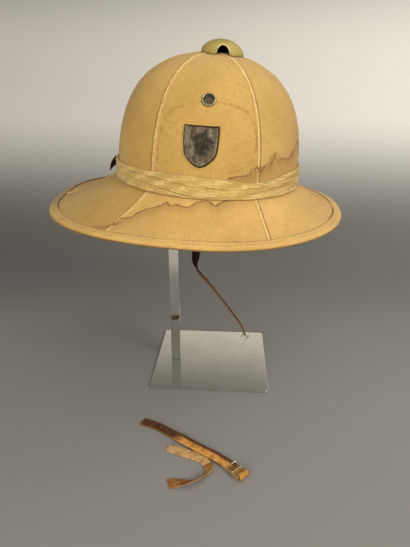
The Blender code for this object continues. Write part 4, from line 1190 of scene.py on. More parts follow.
@dataclass
class Brim:
    """The brim's sheet with leaning seams, and a short nick in its cloth."""

    top_rows: int = 58
    under_rows: int = 26
    ripple: float = 0.00035
    nick_angle: float = 271.2
    nick_end: float = 0.12
    nick_depth: float = 0.0008
    nick_width: float = 0.0011

    def build(self, finishes: Finishes) -> None:
        """Make the sheet and its seam stitches."""
        shares = np.linspace(0.0, 1.0, self.top_rows)
        angles, apart, gores = SEAMS.columns(
            SEAMS.brim_foot, SEAMS.brim_edge, shares, lambda at, rows: self.pace(at, shares[rows][:, None])
        )
        top = FORM.brim(angles, shares[:, None])
        _, normals = FORM.brim_ways(angles, np.maximum(shares[:, None], 0.02))
        fade = smooth_step(shares, 0.0, 0.06)[:, None] * (1.0 - smooth_step(shares, 0.90, 0.93)[:, None])
        wave = fade * self.ripple * ripples(top, (0.035, 0.06, 0.1), 11)
        lift = SEAMS.ridge(apart) * fade * (1.0 + 0.2 * ripples(top, (0.008,), 13)) + wave
        line = FORM.brim(np.full(8, math.radians(self.nick_angle)), np.linspace(0.0, self.nick_end, 8))
        lift -= self.nick_depth * np.exp(-((distance_to_line(top, line) / self.nick_width) ** 2))
        points = top + normals * lift[..., None]
        marks = {
            **STAINS.brim_marks(top, angles, shares[:, None]),
            **SEAMS.gore_marks(apart, gores, SEAMS.brim_shades),
        }
        low_shares = np.linspace(1.0, 0.0, self.under_rows)
        rim = angles[-1:]
        _, low_normals = FORM.brim_ways(rim, np.maximum(low_shares[:, None], 0.02))
        under = FORM.brim(rim, low_shares[:, None]) - FORM.brim_wall * low_normals
        root = FORM.dome(rim, np.zeros((1, 1)), -FORM.wall)
        root[..., 2] = -FORM.seat_gap
        run = np.cumsum(np.linalg.norm(np.diff(top[:, 0], axis=0, prepend=top[:1, 0]), axis=1))
        centres = np.radians((np.array(SEAMS.crown) + np.array(SEAMS.crown[1:] + (360.0,))) / 2)
        closed = np.concatenate([angles, angles[:, :1] + FULL_TURN], axis=1)
        sides = [(edge - centres[gores]) * 0.13 for edge in (closed[:, :-1], closed[:, 1:])]
        heights = np.broadcast_to(run[:, None], sides[0].shape)
        uv = np.stack([np.stack([side, heights], axis=-1) for side in sides], axis=2)
        low_rows = self.under_rows + 2
        low_uv = plain_uv(np.linspace(0.0, 0.9, angles.shape[1] + 1)[None, :], np.linspace(0.0, 0.08, low_rows)[:, None])
        low = plain_marks(marks, (self.under_rows + 1, angles.shape[1]))
        sheet = Surface(
            FORM.world(np.concatenate([points, under, root])), round_rows=True, round_columns=True,
            uv=np.concatenate([uv, low_uv]),
            marks={name: np.concatenate([values, low[name]]) for name, values in marks.items()},
        )
        add_piece("brim_sheet", [sheet], finishes.canvas, ("brim",))
        self.stitch(points, normals, shares, finishes)

    @staticmethod
    def pace(angles: np.ndarray, shares: np.ndarray) -> np.ndarray:
        """Metres per radian round the brim."""
        step = 0.002
        return np.linalg.norm(FORM.brim(angles + step, shares) - FORM.brim(angles - step, shares), axis=-1) / (2 * step)

    @staticmethod
    def stitch(points: np.ndarray, normals: np.ndarray, shares: np.ndarray, finishes: Finishes) -> None:
        """One row of stitches on each side of every seam of the brim."""
        kept = (shares > 0.03) & (shares < 0.90)
        per_gore = points.shape[1] // len(SEAMS.crown)
        stitches: list[Surface] = []
        for gore in range(len(SEAMS.crown)):
            for shift in (2, -2):
                column = (gore * per_gore + shift) % points.shape[1]
                stitches += stitch_row(points[kept, column], normals[kept, column], 0.0029, 0.0021, 0.00030)
        for stitch in stitches:
            stitch.points = FORM.world(stitch.points)
        add_piece("brim_stitches", stitches, finishes.thread)


@dataclass
class Binding:
    """The cloth channel round the brim's edge, with a turned-in hem, a crease and a row of stitches."""

    columns: int = 760
    width: float = 0.009
    wall: float = 0.0010
    flat_points: int = 12
    nose_points: int = 11
    stitch_back: float = 0.0018

    def build(self, finishes: Finishes) -> None:
        """Make the channel and its stitches."""
        angles = np.linspace(0.0, FULL_TURN, self.columns, endpoint=False)[:, None]
        edge = FORM.brim(angles, np.ones((1, 1)))
        foot = FORM.brim(angles, np.zeros((1, 1)))
        reach = np.linalg.norm(edge - foot, axis=-1)
        wavy = self.width * (1.0 + 0.035 * ripples(edge[:, 0], (0.02, 0.05), 21)[:, None])
        back = 1.0 - wavy / reach
        half = FORM.brim_wall / 2 + FORM.seat_gap
        share = np.linspace(0.0, 1.0, self.flat_points)[None, :]
        stations = back + (1.0 - back) * share
        _, normals = FORM.brim_ways(angles, stations)
        middle = FORM.brim(angles, stations) - normals * FORM.brim_wall / 2
        rounded = smooth_step(share, 0.0, 0.05)
        groove = np.exp(-(((share * self.width - self.stitch_back) / 0.0005) ** 2))
        crease = np.exp(-(((share * self.width - 0.55 * self.width) / 0.0005) ** 2))
        lumps = 0.07 * ripples(middle, (0.004, 0.009, 0.02), 23)
        depth = self.wall * (0.30 + 0.50 * rounded - 0.25 * groove - 0.14 * crease + lumps)
        depth += 0.2 * self.wall * smooth_step(share, 0.7, 1.0)
        depth[:, -1] = self.wall
        upper = middle + normals * (half + depth)[..., None]
        lower = middle[:, ::-1] - normals[:, ::-1] * (half + depth[:, ::-1])[..., None]
        outwards, end_normals = FORM.brim_ways(angles, np.ones((1, 1)))
        bend = np.linspace(math.pi / 2, -math.pi / 2, self.nose_points)[None, 1:-1, None]
        round_nose = half + self.wall
        nose = middle[:, -1:] + round_nose * (np.cos(bend) * outwards + np.sin(bend) * end_normals)
        inner = [
            middle[:, :1] - normals[:, :1] * half, middle[:, -1:] - normals[:, -1:] * half,
            middle[:, -1:] + normals[:, -1:] * half, middle[:, :1] + normals[:, :1] * half,
        ]
        ring = np.concatenate([upper, nose, lower, *inner], axis=1)
        rows = ring.shape[1]
        run = np.cumsum(np.linalg.norm(np.diff(ring.mean(axis=0), axis=0, prepend=ring.mean(axis=0)[:1]), axis=1))
        turn = np.linspace(0.0, 1.02, self.columns + 1)[:, None]
        uv = plain_uv(np.append(run, run[-1] + 0.002)[None, :], turn)
        degrees = np.degrees(angles) % 360.0
        # angles where the painted shadow gap shows along the binding's inner edge
        painted_shadow_gap = smooth_step(degrees, 118.0, 128.0) * (1.0 - smooth_step(degrees, 198.0, 207.0))
        painted_shadow_gap = painted_shadow_gap + smooth_step(degrees, 334.0, 338.0) * (1.0 - smooth_step(degrees, 350.0, 356.0))
        hem = np.zeros((1, rows))
        hem[0, : self.flat_points] = np.exp(-(((share[0] * self.width - 0.0002) / 0.0011) ** 2))
        folded = np.zeros((1, rows))
        folded[0, : self.flat_points] = np.maximum(0.45 * groove[0], 0.15 * crease[0])
        folded[0, 0] = 0.8
        # painted shade on the lower half of the nose and on the binding's underside
        underside_shade = np.zeros((1, rows))
        nose_rows = slice(self.flat_points, self.flat_points + self.nose_points - 2)
        underside_shade[0, nose_rows] = smooth_step(-np.sin(bend[0, :, 0]), -0.55, 0.12)
        underside_shade[0, nose_rows.stop :] = 1.0
        # painted highlights along the crest 3.1 mm in and along the outer edge
        lined = np.zeros((1, rows))
        lined[0, : self.flat_points] = 0.45 * np.exp(-(((share[0] * self.width - 0.0031) / 0.0006) ** 2))
        lined[0, self.flat_points - 1] = 0.45
        # painted shade on the far side of the front
        painted_far_shade = 0.40 * smooth_step(degrees, 122.0, 140.0) * (1.0 - smooth_step(degrees, 186.0, 212.0))
        marks = plain_marks(("tide", "ring"), (self.columns, rows))
        marks["gloom"] = np.broadcast_to(underside_shade, (self.columns, rows))
        # the "worn" mark holds the painted shadow gap along the inner edge
        marks["worn"] = painted_shadow_gap * hem
        marks["pale"] = np.broadcast_to(lined, (self.columns, rows)) * (0.7 + 0.3 * ripples(edge, (0.006, 0.02), 27))
        marks["seam"] = np.broadcast_to(folded, (self.columns, rows)) * (0.8 + 0.2 * ripples(edge, (0.01, 0.03), 25))
        # painted shade towards the front, away from the key light, lighter (negative) towards the rear and sides, with
        # extra painted shade on the far side of the front
        marks["shade"] = np.broadcast_to(
            0.22 * smooth_step(-np.cos(np.radians(degrees - 10.0)), 0.3, 0.9) - 0.14 + painted_far_shade, (self.columns, rows)
        )
        channel = Surface(FORM.world(ring), round_rows=True, round_columns=True, uv=uv, marks=marks)
        add_piece("brim_binding_cloth", [channel], finishes.canvas, ("brim_binding",))
        at = int(round(self.stitch_back / self.width * (self.flat_points - 1)))
        closed = np.arange(self.columns + 1) % self.columns
        stitches = stitch_row(upper[closed, at], normals[closed, at], 0.0032, 0.0023, 0.00026)
        stitches += stitch_row(lower[closed, -1 - at], -normals[closed, at], 0.0032, 0.0023, 0.00026)
        for stitch in stitches:
            stitch.points = FORM.world(stitch.points)
        add_piece("binding_stitches", stitches, finishes.thread)


@dataclass
class Hatband:
    """The cloth band in overlapping folds, each hanging over the one below it."""

    columns: int = 620
    height: float = 0.022
    wall: float = 0.0012
    fold: float = 0.0013
    tuck: float = 0.00045
    # degrees round the crown, and the lower fold, upper fold and top edge as shares of the height
    folds: tuple = (
        (0.0, 0.60, 0.88, 1.05), (45.0, 0.30, 0.66, 1.00), (90.0, 0.22, 0.60, 1.00),
        (135.0, 0.42, 0.78, 1.00), (180.0, 0.52, 0.78, 0.94), (215.0, 0.52, 0.76, 0.90),
        (240.0, 0.42, 0.78, 0.99), (260.0, 0.14, 0.62, 1.03), (285.0, 0.14, 0.52, 0.91),
        (302.0, 0.34, 0.58, 0.75), (330.0, 0.64, 0.86, 1.03), (360.0, 0.60, 0.88, 1.05),
    )

    def layer(self, low: np.ndarray, high: np.ndarray, thin: float, thick: float) -> list[tuple]:
        """One fold: a rounded lower edge that hangs over, then a wedge that thins towards its top.

        Args:
            low: Height of its lower edge at each column.
            high: Height where the next fold covers it.
            thin: Depth under the next fold.
            thick: Depth at its lower edge.

        Returns:
            Rows of (height, depth).
        """
        rows = [
            (low + 0.2 * self.tuck, thin), (low - 0.7 * self.tuck, thin + 0.25 * (thick - thin)),
            (low - self.tuck, thin + 0.6 * (thick - thin)), (low - 0.6 * self.tuck, thin + 0.9 * (thick - thin)),
            (low + 0.2 * self.tuck, thick),
        ]
        for share in (0.15, 0.3, 0.45, 0.6, 0.75, 0.88, 0.98):
            rows.append((low + (high - low) * share, thick + (thin - thick) * share))
        return rows

    def build(self, finishes: Finishes) -> None:
        """Make the band."""
        angles = np.linspace(0.0, FULL_TURN, self.columns, endpoint=False)
        table = smooth_rows(self.folds, 12 * len(self.folds))
        degrees = np.degrees(angles)
        lower, upper, top = (
            self.height * np.interp(degrees, table[:, 0], table[:, column]) for column in (1, 2, 3)
        )
        start = FORM.seat_gap + 0.0005
        thin, thick = start + self.wall, start + self.wall + self.fold
        foot = np.full_like(lower, 0.0002)
        rows = self.layer(foot + self.tuck, lower, thin, thick)[3:]
        rows += self.layer(lower, upper, thin, thick)
        rows += self.layer(upper, top, thin, thick)
        rows += [(top, thin), (top + 0.0002, (thin + start) / 2), (top, start), (0.5 * top, start), (foot, start)]
        heights = np.stack([np.broadcast_to(row[0], angles.shape) for row in rows])
        depths = np.stack([np.broadcast_to(row[1], angles.shape) for row in rows])
        flat = FORM.dome_at(angles[None, :], heights)
        creases = 0.00032 * ripples(flat * (0.3, 0.3, 1.9), (0.0045, 0.008), 31)
        swells = 0.00025 * ripples(flat, (0.02, 0.05), 33)
        proud = smooth_step(depths, start + 0.0004, thin)
        depths = depths + proud * (creases + swells)
        points = FORM.dome_at(angles[None, :], np.maximum(heights, 0.0), depths)
        points[..., 2] = heights
        run = np.cumsum(np.abs(np.diff(heights.mean(axis=1), prepend=0.0)))
        uv = plain_uv(np.linspace(0.0, 0.63, self.columns + 1)[None, :], np.append(run, run[-1] + 0.001)[:, None])
        marks = plain_marks(("tide", "ring"), flat.shape[:2])
        # painted shadow under the lower edge of each fold and along the band's foot
        painted_fold_shadow = np.exp(-(((depths - thin) / (0.35 * self.fold)) ** 2)) * (heights < np.roll(heights, 1, axis=0))
        painted_fold_shadow[0] = 1.0
        marks["seam"] = 0.95 * np.clip(painted_fold_shadow, 0.0, 1.0)
        marks["shade"] = 0.04 + 0.04 * ripples(flat, (0.006, 0.012, 0.04), 35)
        # painted highlight on the crests of the creases
        marks["pale"] = 0.5 * smooth_step(ripples(flat * (0.3, 0.3, 1.9), (0.0045, 0.008), 31), 0.05, 0.5)
        band = Surface(FORM.world(points), round_rows=True, round_columns=True, uv=uv, marks=marks)
        add_piece("hatband_cloth", [band], finishes.band, ("hatband",))


@dataclass
class VentCap:
    """The domed cap with half-round openings and a rolled lip that follows its whole lower edge."""

    x: float = 0.0085
    radius: float = 0.0232
    height: float = 0.0135
    wall: float = 0.0010
    openings: int = 3
    turn: float = math.radians(4.0)
    opening_width: float = 0.0148
    opening_height: float = 0.0086
    columns: int = 420
    rows: int = 34
    lip: float = 0.00045
    opening_lip: float = 0.0006

    def floors(self, angles: np.ndarray) -> np.ndarray:
        """Height of the cap's lower edge: h (1 - |a / half|^2.6)^0.42 over each opening, and 0 between them."""
        half = math.asin(self.opening_width / 2 / self.radius)
        pitch = FULL_TURN / self.openings
        apart = (angles - self.turn + math.pi / 2 + pitch / 2) % pitch - pitch / 2
        return self.opening_height * np.clip(1.0 - np.abs(apart / half) ** 2.6, 0.0, 1.0) ** 0.42

    def surface(self, angles: np.ndarray, rows: int, inset: float) -> np.ndarray:
        """The elliptical dome over the crown: radius . cos t and height . sin t, from its lower edge up."""
        radius, height = self.radius - inset, self.height - inset
        first = np.arcsin(self.floors(angles) / height)
        turns = first + (math.pi / 2 - first) * np.linspace(0.0, 1.0, rows)[:, None]
        spread = np.cos(turns)
        spread[-1] = 0.0
        x = self.x + radius * spread * np.cos(angles)
        y = radius * spread * np.sin(angles)
        ground = FORM.onto_dome(np.stack([x, y, np.zeros_like(x)], axis=-1), (0.0, 0.0, 1.0), 0.0008)
        return np.stack([x, y, ground[..., 2] + height * np.sin(turns)], axis=-1)

    def build(self, finishes: Finishes) -> None:
        """Make the cap."""
        angles = np.linspace(0.0, FULL_TURN, self.columns, endpoint=False)[None, :]
        outer = self.surface(angles, self.rows, 0.0)
        dents = 0.0002 * ripples(outer, (0.012, 0.02), 41)
        dents *= smooth_step(np.linspace(0.0, 1.0, self.rows), 0.0, 0.2)[:, None]
        outer[..., 2] += np.where(np.arange(self.rows)[:, None] == self.rows - 1, 0.0, dents)
        outer[-1] = outer[-2].mean(axis=0)
        inner = self.surface(angles, 12, self.wall)[::-1]
        edge = np.zeros((self.rows + 12, self.columns))
        # painted contact shadow on the lowest rows
        edge[:3] = 0.7
        inside = np.zeros_like(edge)
        # the inside rows, painted near black as shade
        inside[self.rows :] = 1.0
        cap = Surface(
            FORM.world(np.concatenate([outer, inner])), round_rows=True, round_columns=True,
            marks={"edge": edge, "inside": inside},
        )
        rim = (outer[0] + inner[-1]) / 2
        opened = smooth_step(self.floors(angles[0]), 0.0, 0.5 * self.opening_height)
        radii = self.lip + (self.opening_lip - self.lip) * opened
        rim[:, 2] += 0.4 * radii
        rim += opened[:, None] * 0.0005 * unit((rim - (self.x, 0.0, 0.0)) * (1.0, 1.0, 0.0))
        roll = tube(FORM.world(rim), radii, 12, closed=True)
        # painted highlight on the lip round the openings
        roll.marks["bright"] = np.broadcast_to(opened[:, None], roll.points.shape[:2])
        # painted contact shadow on the lip between the openings
        roll.marks["edge"] = np.broadcast_to(0.8 * (1.0 - opened[:, None]), roll.points.shape[:2])
        add_piece("vent_cap_shell", [cap, roll], finishes.paint, ("vent_cap",))


@dataclass
class Eyelets:
    """The two brass eyelets, rolled over the cloth, and the woven wire in each."""

    x: float = 0.0009
    height: float = 0.0942
    flange: float = 0.0072
    barrel: float = 0.0060
    hole: float = 0.0052
    proud: float = 0.0013
    wires: int = 9
    wire: float = 0.00019
    mesh_depth: float = 0.0011

    def profile(self) -> np.ndarray:
        """Rows of (radius, height): a rolled ring outside, the barrel, and the turned-over edge inside."""
        back = -(FORM.wall + 0.001)
        middle, reach = (self.flange + self.hole) / 2, (self.flange - self.hole) / 2
        bends = np.linspace(0.0, math.pi, 13)
        ring = [(middle - reach * math.cos(bend), FORM.seat_gap + self.proud * math.sin(bend) ** 0.8) for bend in bends]
        ring += [(self.barrel, FORM.seat_gap), (self.barrel, back), (self.flange, back)]
        ring += [(self.flange, back - 0.0006), (self.flange - 0.0004, back - 0.001), (self.hole, back - 0.001)]
        return np.array(ring)

    def weave(self) -> list[Surface]:
        """Wires across a disc in two directions, each a tube along x, +-amplitude . cos(pi x / pitch)."""
        radius = self.hole - 0.00015
        pitch = 2 * radius / self.wires
        wires = []
        for number in range(self.wires):
            offset = -radius + pitch * (number + 0.5)
            half = math.sqrt(max(radius**2 - offset**2, 1e-9))
            along = np.linspace(-half, half, 40)
            sign = 1.0 if number % 2 else -1.0
            wave = sign * self.wire * 0.9 * np.cos(math.pi * (along + radius) / pitch + math.pi / 2)
            level = -self.mesh_depth
            wires.append(np.stack([along, np.full(40, offset), level + wave], axis=-1))
            wires.append(np.stack([np.full(40, offset), along, level - wave], axis=-1))
        return [tube(path, self.wire, 6, closed=False) for path in wires]

    def build(self, finishes: Finishes) -> None:
        """Make both eyelets and both meshes."""
        for side, place in ((-1, "near"), (1, "far")):
            matrix = FORM.matrix() @ FORM.dome_frame(self.x, self.height, side)
            profile = self.profile()
            ring = turned(profile, 72, matrix)
            middle, reach = (self.flange + self.hole) / 2, (self.flange - self.hole) / 2
            outlined = smooth_step(np.abs(profile[:, :1] - middle) / reach, 0.70, 0.97)
            ring.marks["edge"] = np.broadcast_to(outlined, ring.points.shape[:2])
            add_piece(f"eyelet_ring_{place}", [ring], finishes.brass, (f"eyelet_{place}",))
            wires = self.weave()
            for wire in wires:
                wire.points = moved(wire.points, matrix)
            add_piece(f"eyelet_wire_{place}", wires, finishes.wire, (f"eyelet_mesh_{place}",))


@dataclass
class Shield:
    """The pressed metal shield, bare and worn, with a rolled rim and small dents."""

    x: float = -0.0037
    z: float = 0.0515
    width: float = 0.0356
    height: float = 0.0408
    wall: float = 0.0012
    rim: float = 0.0006
    rim_width: float = 0.0013
    # right side from the top corner to the point: shares of the half width and half height
    side: tuple = (
        (0.98, 1.00), (1.00, 0.60), (0.99, 0.25), (0.96, -0.08), (0.92, -0.32),
        (0.81, -0.52), (0.62, -0.71), (0.36, -0.89), (0.16, -0.97), (0.00, -1.00),
    )

    def outline(self) -> np.ndarray:
        """Points round the shield, as shares of its half size: two mirrored sides and a nearly level top."""
        right = smooth_rows(self.side, 64)
        left = right[-2::-1] * (-1.0, 1.0)
        across = np.linspace(-0.98, 0.98, 26)[1:-1]
        top = np.stack([across, 1.0 - 0.02 * (1 - across**2)], axis=-1)
        return np.concatenate([right, left, top])

    def build(self, finishes: Finishes) -> None:
        """Make the shield: scaled outlines at their heights, slid onto the crown's side."""
        outline = self.outline() * (self.width / 2, self.height / 2)
        frame_at = FORM.dome_frame(self.x, self.z, -1)
        inner = 1 - 2 * self.rim_width / self.width
        face = FORM.seat_gap + self.wall
        bends = np.linspace(0.0, math.pi, 9)
        rows = [(share, FORM.seat_gap) for share in (0.0, 0.3, 0.6, 0.9, 0.99)]
        rows += [(1.0, FORM.seat_gap + 0.0003), (1.0, face - 0.0002)]
        rows += [((1.0 + inner) / 2 + (1.0 - inner) / 2 * math.cos(bend), face + self.rim * math.sin(bend)) for bend in bends]
        rows += [(inner - 0.015, face - 0.0001)]
        rows += [(share, face + 0.0005 * (1.0 - (share / inner) ** 2)) for share in np.linspace(inner - 0.05, 0.0, 18)]
        scales = np.array([row[0] for row in rows])[:, None, None]
        flat = np.concatenate([outline[None] * scales, np.zeros((len(rows), len(outline), 1))], axis=-1)
        heights = np.broadcast_to(np.array([row[1] for row in rows])[:, None], flat.shape[:2]).copy()
        front = len(rows) - 19
        heights[front:] += 0.00022 * ripples(flat[front:], (0.006, 0.011), 51)
        heights[-1] = heights[-1].mean()
        out = np.array(frame_at.to_3x3() @ Vector((0.0, 0.0, 1.0)))
        points = FORM.onto_dome(moved(flat, frame_at), tuple(out)) + out * heights[..., None]
        shares = flat[..., :2] / (self.width / 2, self.height / 2)
        middle = np.hypot((shares[..., 0] - 0.05) / 0.95, (shares[..., 1] - 0.15) / 0.95)
        patch = 1.0 - smooth_step(middle, 0.10, 1.05)
        edge = np.broadcast_to(smooth_step(scales[..., 0], inner - 0.03, inner + 0.03), patch.shape)
        edge = edge * (0.72 + 0.28 * smooth_step(shares[..., 0] - 0.6 * shares[..., 1], -1.2, -0.2))
        plate = Surface(FORM.world(points), round_columns=True, marks={"patch": patch, "edge": edge})
        add_piece("badge_plate", [plate], finishes.shield, ("badge_shield",), 40.0)


# Straps and buckle


@dataclass
class Ribbon:
    """A flat leather strap along a path: a rounded oblong section, carried with its width along the sides."""

    centres: np.ndarray
    sides: np.ndarray
    widths: Union[float, np.ndarray]
    thickness: float
    round_points: int = 28
    ragged_start: float = 0.0
    ragged_end: float = 0.0
    seed: int = 1

    def surface(self) -> Surface:
        """The strap's grid: centre + a . half width . side + b . half thickness . face, and closed ends.

        Returns:
            A grid whose mark "edge" says how near the strap's edge a point is.
        """
        count = len(self.centres)
        along = unit(np.gradient(self.centres, axis=0))
        sides = unit(self.sides - along * (self.sides * along).sum(axis=1, keepdims=True))
        faces = np.cross(along, sides)
        turns = np.linspace(0.0, FULL_TURN, self.round_points, endpoint=False)
        across = np.sign(np.cos(turns)) * np.abs(np.cos(turns)) ** 0.55
        deep = np.sign(np.sin(turns)) * np.abs(np.sin(turns)) ** 0.5
        deep = deep * (1.0 - 0.12 * across**4)
        half = np.broadcast_to(self.widths, (count,))[:, None] / 2
        run = np.concatenate([[0.0], np.cumsum(np.linalg.norm(np.diff(self.centres, axis=0), axis=1))])
        uneven = 1.0 + 0.012 * np.sin(run / 0.0031 + self.seed)[:, None] + 0.015 * np.sin(run / 0.0083 + 2.0)[:, None]
        width_at = across[None, :] * half * uneven
        thick_at = deep[None, :] * self.thickness / 2 * np.ones_like(half)
        torn = (
            0.5 * np.sin(width_at / 0.00062 + self.seed) + 0.3 * np.sin(width_at / 0.00031 + 2.0 * self.seed)
            + 0.6 * np.sin(width_at / 0.0023 + 0.5 * self.seed)
        )
        reach_in = 0.006
        pull = self.ragged_start * np.clip(1.0 - run / reach_in, 0.0, 1.0)[:, None] ** 2 * torn
        pull -= self.ragged_end * np.clip(1.0 - (run[-1] - run) / reach_in, 0.0, 1.0)[:, None] ** 2 * torn
        points = (
            self.centres[:, None] + sides[:, None] * width_at[..., None] + faces[:, None] * thick_at[..., None]
            + along[:, None] * pull[..., None]
        )
        first = [self.cap(points[0], share) for share in (0.0, 0.55, 0.9)]
        last = [self.cap(points[-1], share) for share in (0.9, 0.55, 0.0)]
        grid = np.concatenate([np.array(first), points, np.array(last)])
        rows = len(grid)
        edge = np.broadcast_to(smooth_step(np.abs(across), 0.72, 0.99), (rows, self.round_points))
        lengths = np.concatenate([[0.0] * 3, run, [run[-1]] * 3])[:, None]
        around = np.append(np.cumsum(np.abs(np.diff(across, prepend=across[0]))) * 0.006, 0.024)[None, :]
        uv = plain_uv(around, lengths)
        return Surface(grid, round_columns=True, uv=uv, marks={"edge": edge})

    @staticmethod
    def cap(section: np.ndarray, share: float) -> np.ndarray:
        """The section drawn in towards its own middle."""
        middle = section.mean(axis=0)
        return middle + (section - middle) * share


@dataclass
class HangingStrap:
    """The strap sewn inside the near wall, which hangs and turns down to a wire ring."""

    x: float = -0.004
    drop: float = 0.1765
    drift: float = 0.053
    width: float = 0.0120
    thickness: float = 0.0017
    tip_width: float = 0.0046
    ring_radius: float = 0.0038
    ring_wire: float = 0.00075
    hole_inset: float = 0.0034
    # shares of the drop, of the drift to the rear, and of it inwards, and the turn in degrees
    rows: tuple = (
        (0.000, 0.000, 0.000, 0.0), (0.080, -0.002, 0.010, 0.0), (0.180, -0.010, 0.030, -8.0),
        (0.310, -0.035, 0.045, -24.0), (0.430, -0.070, 0.050, -40.0), (0.480, -0.092, 0.050, -54.0),
        (0.515, -0.074, 0.050, -66.0), (0.545, -0.028, 0.050, -78.0), (0.590, 0.092, 0.050, -84.0),
        (0.635, 0.220, 0.050, -82.0), (0.720, 0.435, 0.050, -79.0), (0.810, 0.655, 0.050, -78.0),
        (0.900, 0.868, 0.050, -79.0), (0.950, 0.955, 0.050, -81.0), (1.000, 1.005, 0.050, -84.0),
    )

    def build(self, finishes: Finishes) -> None:
        """Make the strap, the thong at its tip and the ring."""
        plumb = self.width * math.sin(FORM.roll)
        inset = -(FORM.wall + 0.0007 + self.thickness / 2 + plumb)
        top = FORM.matrix() @ Vector(FORM.onto_dome((self.x, 0.0, self.width), (0.0, -1.0, 0.0), inset))
        rows = smooth_rows(self.rows, 150)
        centres = np.array(top) + np.stack(
            [rows[:, 1] * self.drift, rows[:, 2] * self.drift, -rows[:, 0] * self.drop], axis=1
        )
        turns = np.radians(rows[:, 3])
        sides = np.stack([np.cos(turns), np.sin(turns), np.zeros_like(turns)], axis=1)
        narrowing = np.clip((1.0 - rows[:, 0]) * self.drop / self.width, 0.0, 1.0) ** 0.7
        widths = self.tip_width + (self.width - self.tip_width) * narrowing
        strap = Ribbon(centres, sides, widths, self.thickness, seed=4).surface()
        # painted light on the lower part of the strap, below the brim's shadow
        lower = smooth_step(np.concatenate([[0.0] * 3, rows[:, 0], [1.0] * 3]), 0.52, 0.60)[:, None]
        strap.marks["lit"] = np.broadcast_to(0.75 * lower, strap.points.shape[:2])
        add_piece("strap_hanging_leather", [strap], finishes.shaded_leather, ("strap_hanging",))

        along = Vector(centres[-1] - centres[-2]).normalized()
        side = Vector(sides[-1])
        side = (side - along * side.dot(along)).normalized()
        hole = Vector(centres[-1]) - along * self.hole_inset
        matrix = Matrix.Translation(hole) @ Matrix((side, along, along.cross(side))).transposed().to_4x4()
        around = np.linspace(0.0, FULL_TURN, 72, endpoint=False)
        wobble = 1.0 + 0.03 * np.sin(2 * around + 0.6)
        path = np.stack([
            0.0003 * np.sin(3 * around), self.ring_radius * (1.0 + np.cos(around) * wobble),
            self.ring_radius * np.sin(around) * wobble,
        ], axis=-1)
        ring = tube(moved(path, matrix), self.ring_wire, 12, closed=True)
        add_piece("strap_ring_wire", [ring], finishes.buckle, ("strap_ring",))


@dataclass
class FrontStrap:
    """The strap that lies round the front of the crown and stands off it at its free end."""

    start: float = 112.0
    end: float = 188.0
    height: float = 0.0115
    stand_off: float = 0.0046
    width: float = 0.0120
    thickness: float = 0.0017
    seat: float = 0.0005 + 0.0012 + 0.0013 + 3 * 0.0003 + 0.00085
    # way round, height, stand-off, lean in degrees
    rows: tuple = (
        (0.00, 0.90, 0.00, 0.0), (0.25, 0.96, 0.00, 0.0), (0.50, 1.00, 0.04, 1.0),
        (0.72, 0.96, 0.20, 4.0), (0.88, 0.84, 0.60, 9.0), (1.00, 0.64, 1.00, 14.0),
    )

    def build(self, finishes: Finishes) -> None:
        """Make the strap."""
        rows = smooth_rows(self.rows, 90)
        angles = np.radians(self.start + (self.end - self.start) * rows[:, 0])
        heights = self.height * rows[:, 1]
        outwards = unit(np.stack([np.cos(angles), np.sin(angles), np.zeros_like(angles)], axis=1))
        centres = FORM.dome_at(angles, heights, self.seat) + outwards * (self.stand_off * rows[:, 2:3])
        step = 0.002
        rise = unit(FORM.dome_at(angles, heights + step, self.seat) - FORM.dome_at(angles, heights - step, self.seat))
        leans = np.radians(rows[:, 3:4])
        sides = rise * np.cos(leans) - outwards * np.sin(leans)
        strap = Ribbon(centres, sides, self.width, self.thickness, ragged_end=0.0010, seed=7).surface()
        strap.points = FORM.world(strap.points)
        # a faint painted light
        strap.marks["lit"] = np.full(strap.points.shape[:2], 0.04)
        add_piece("strap_front_leather", [strap], finishes.shaded_leather, ("strap_front",))


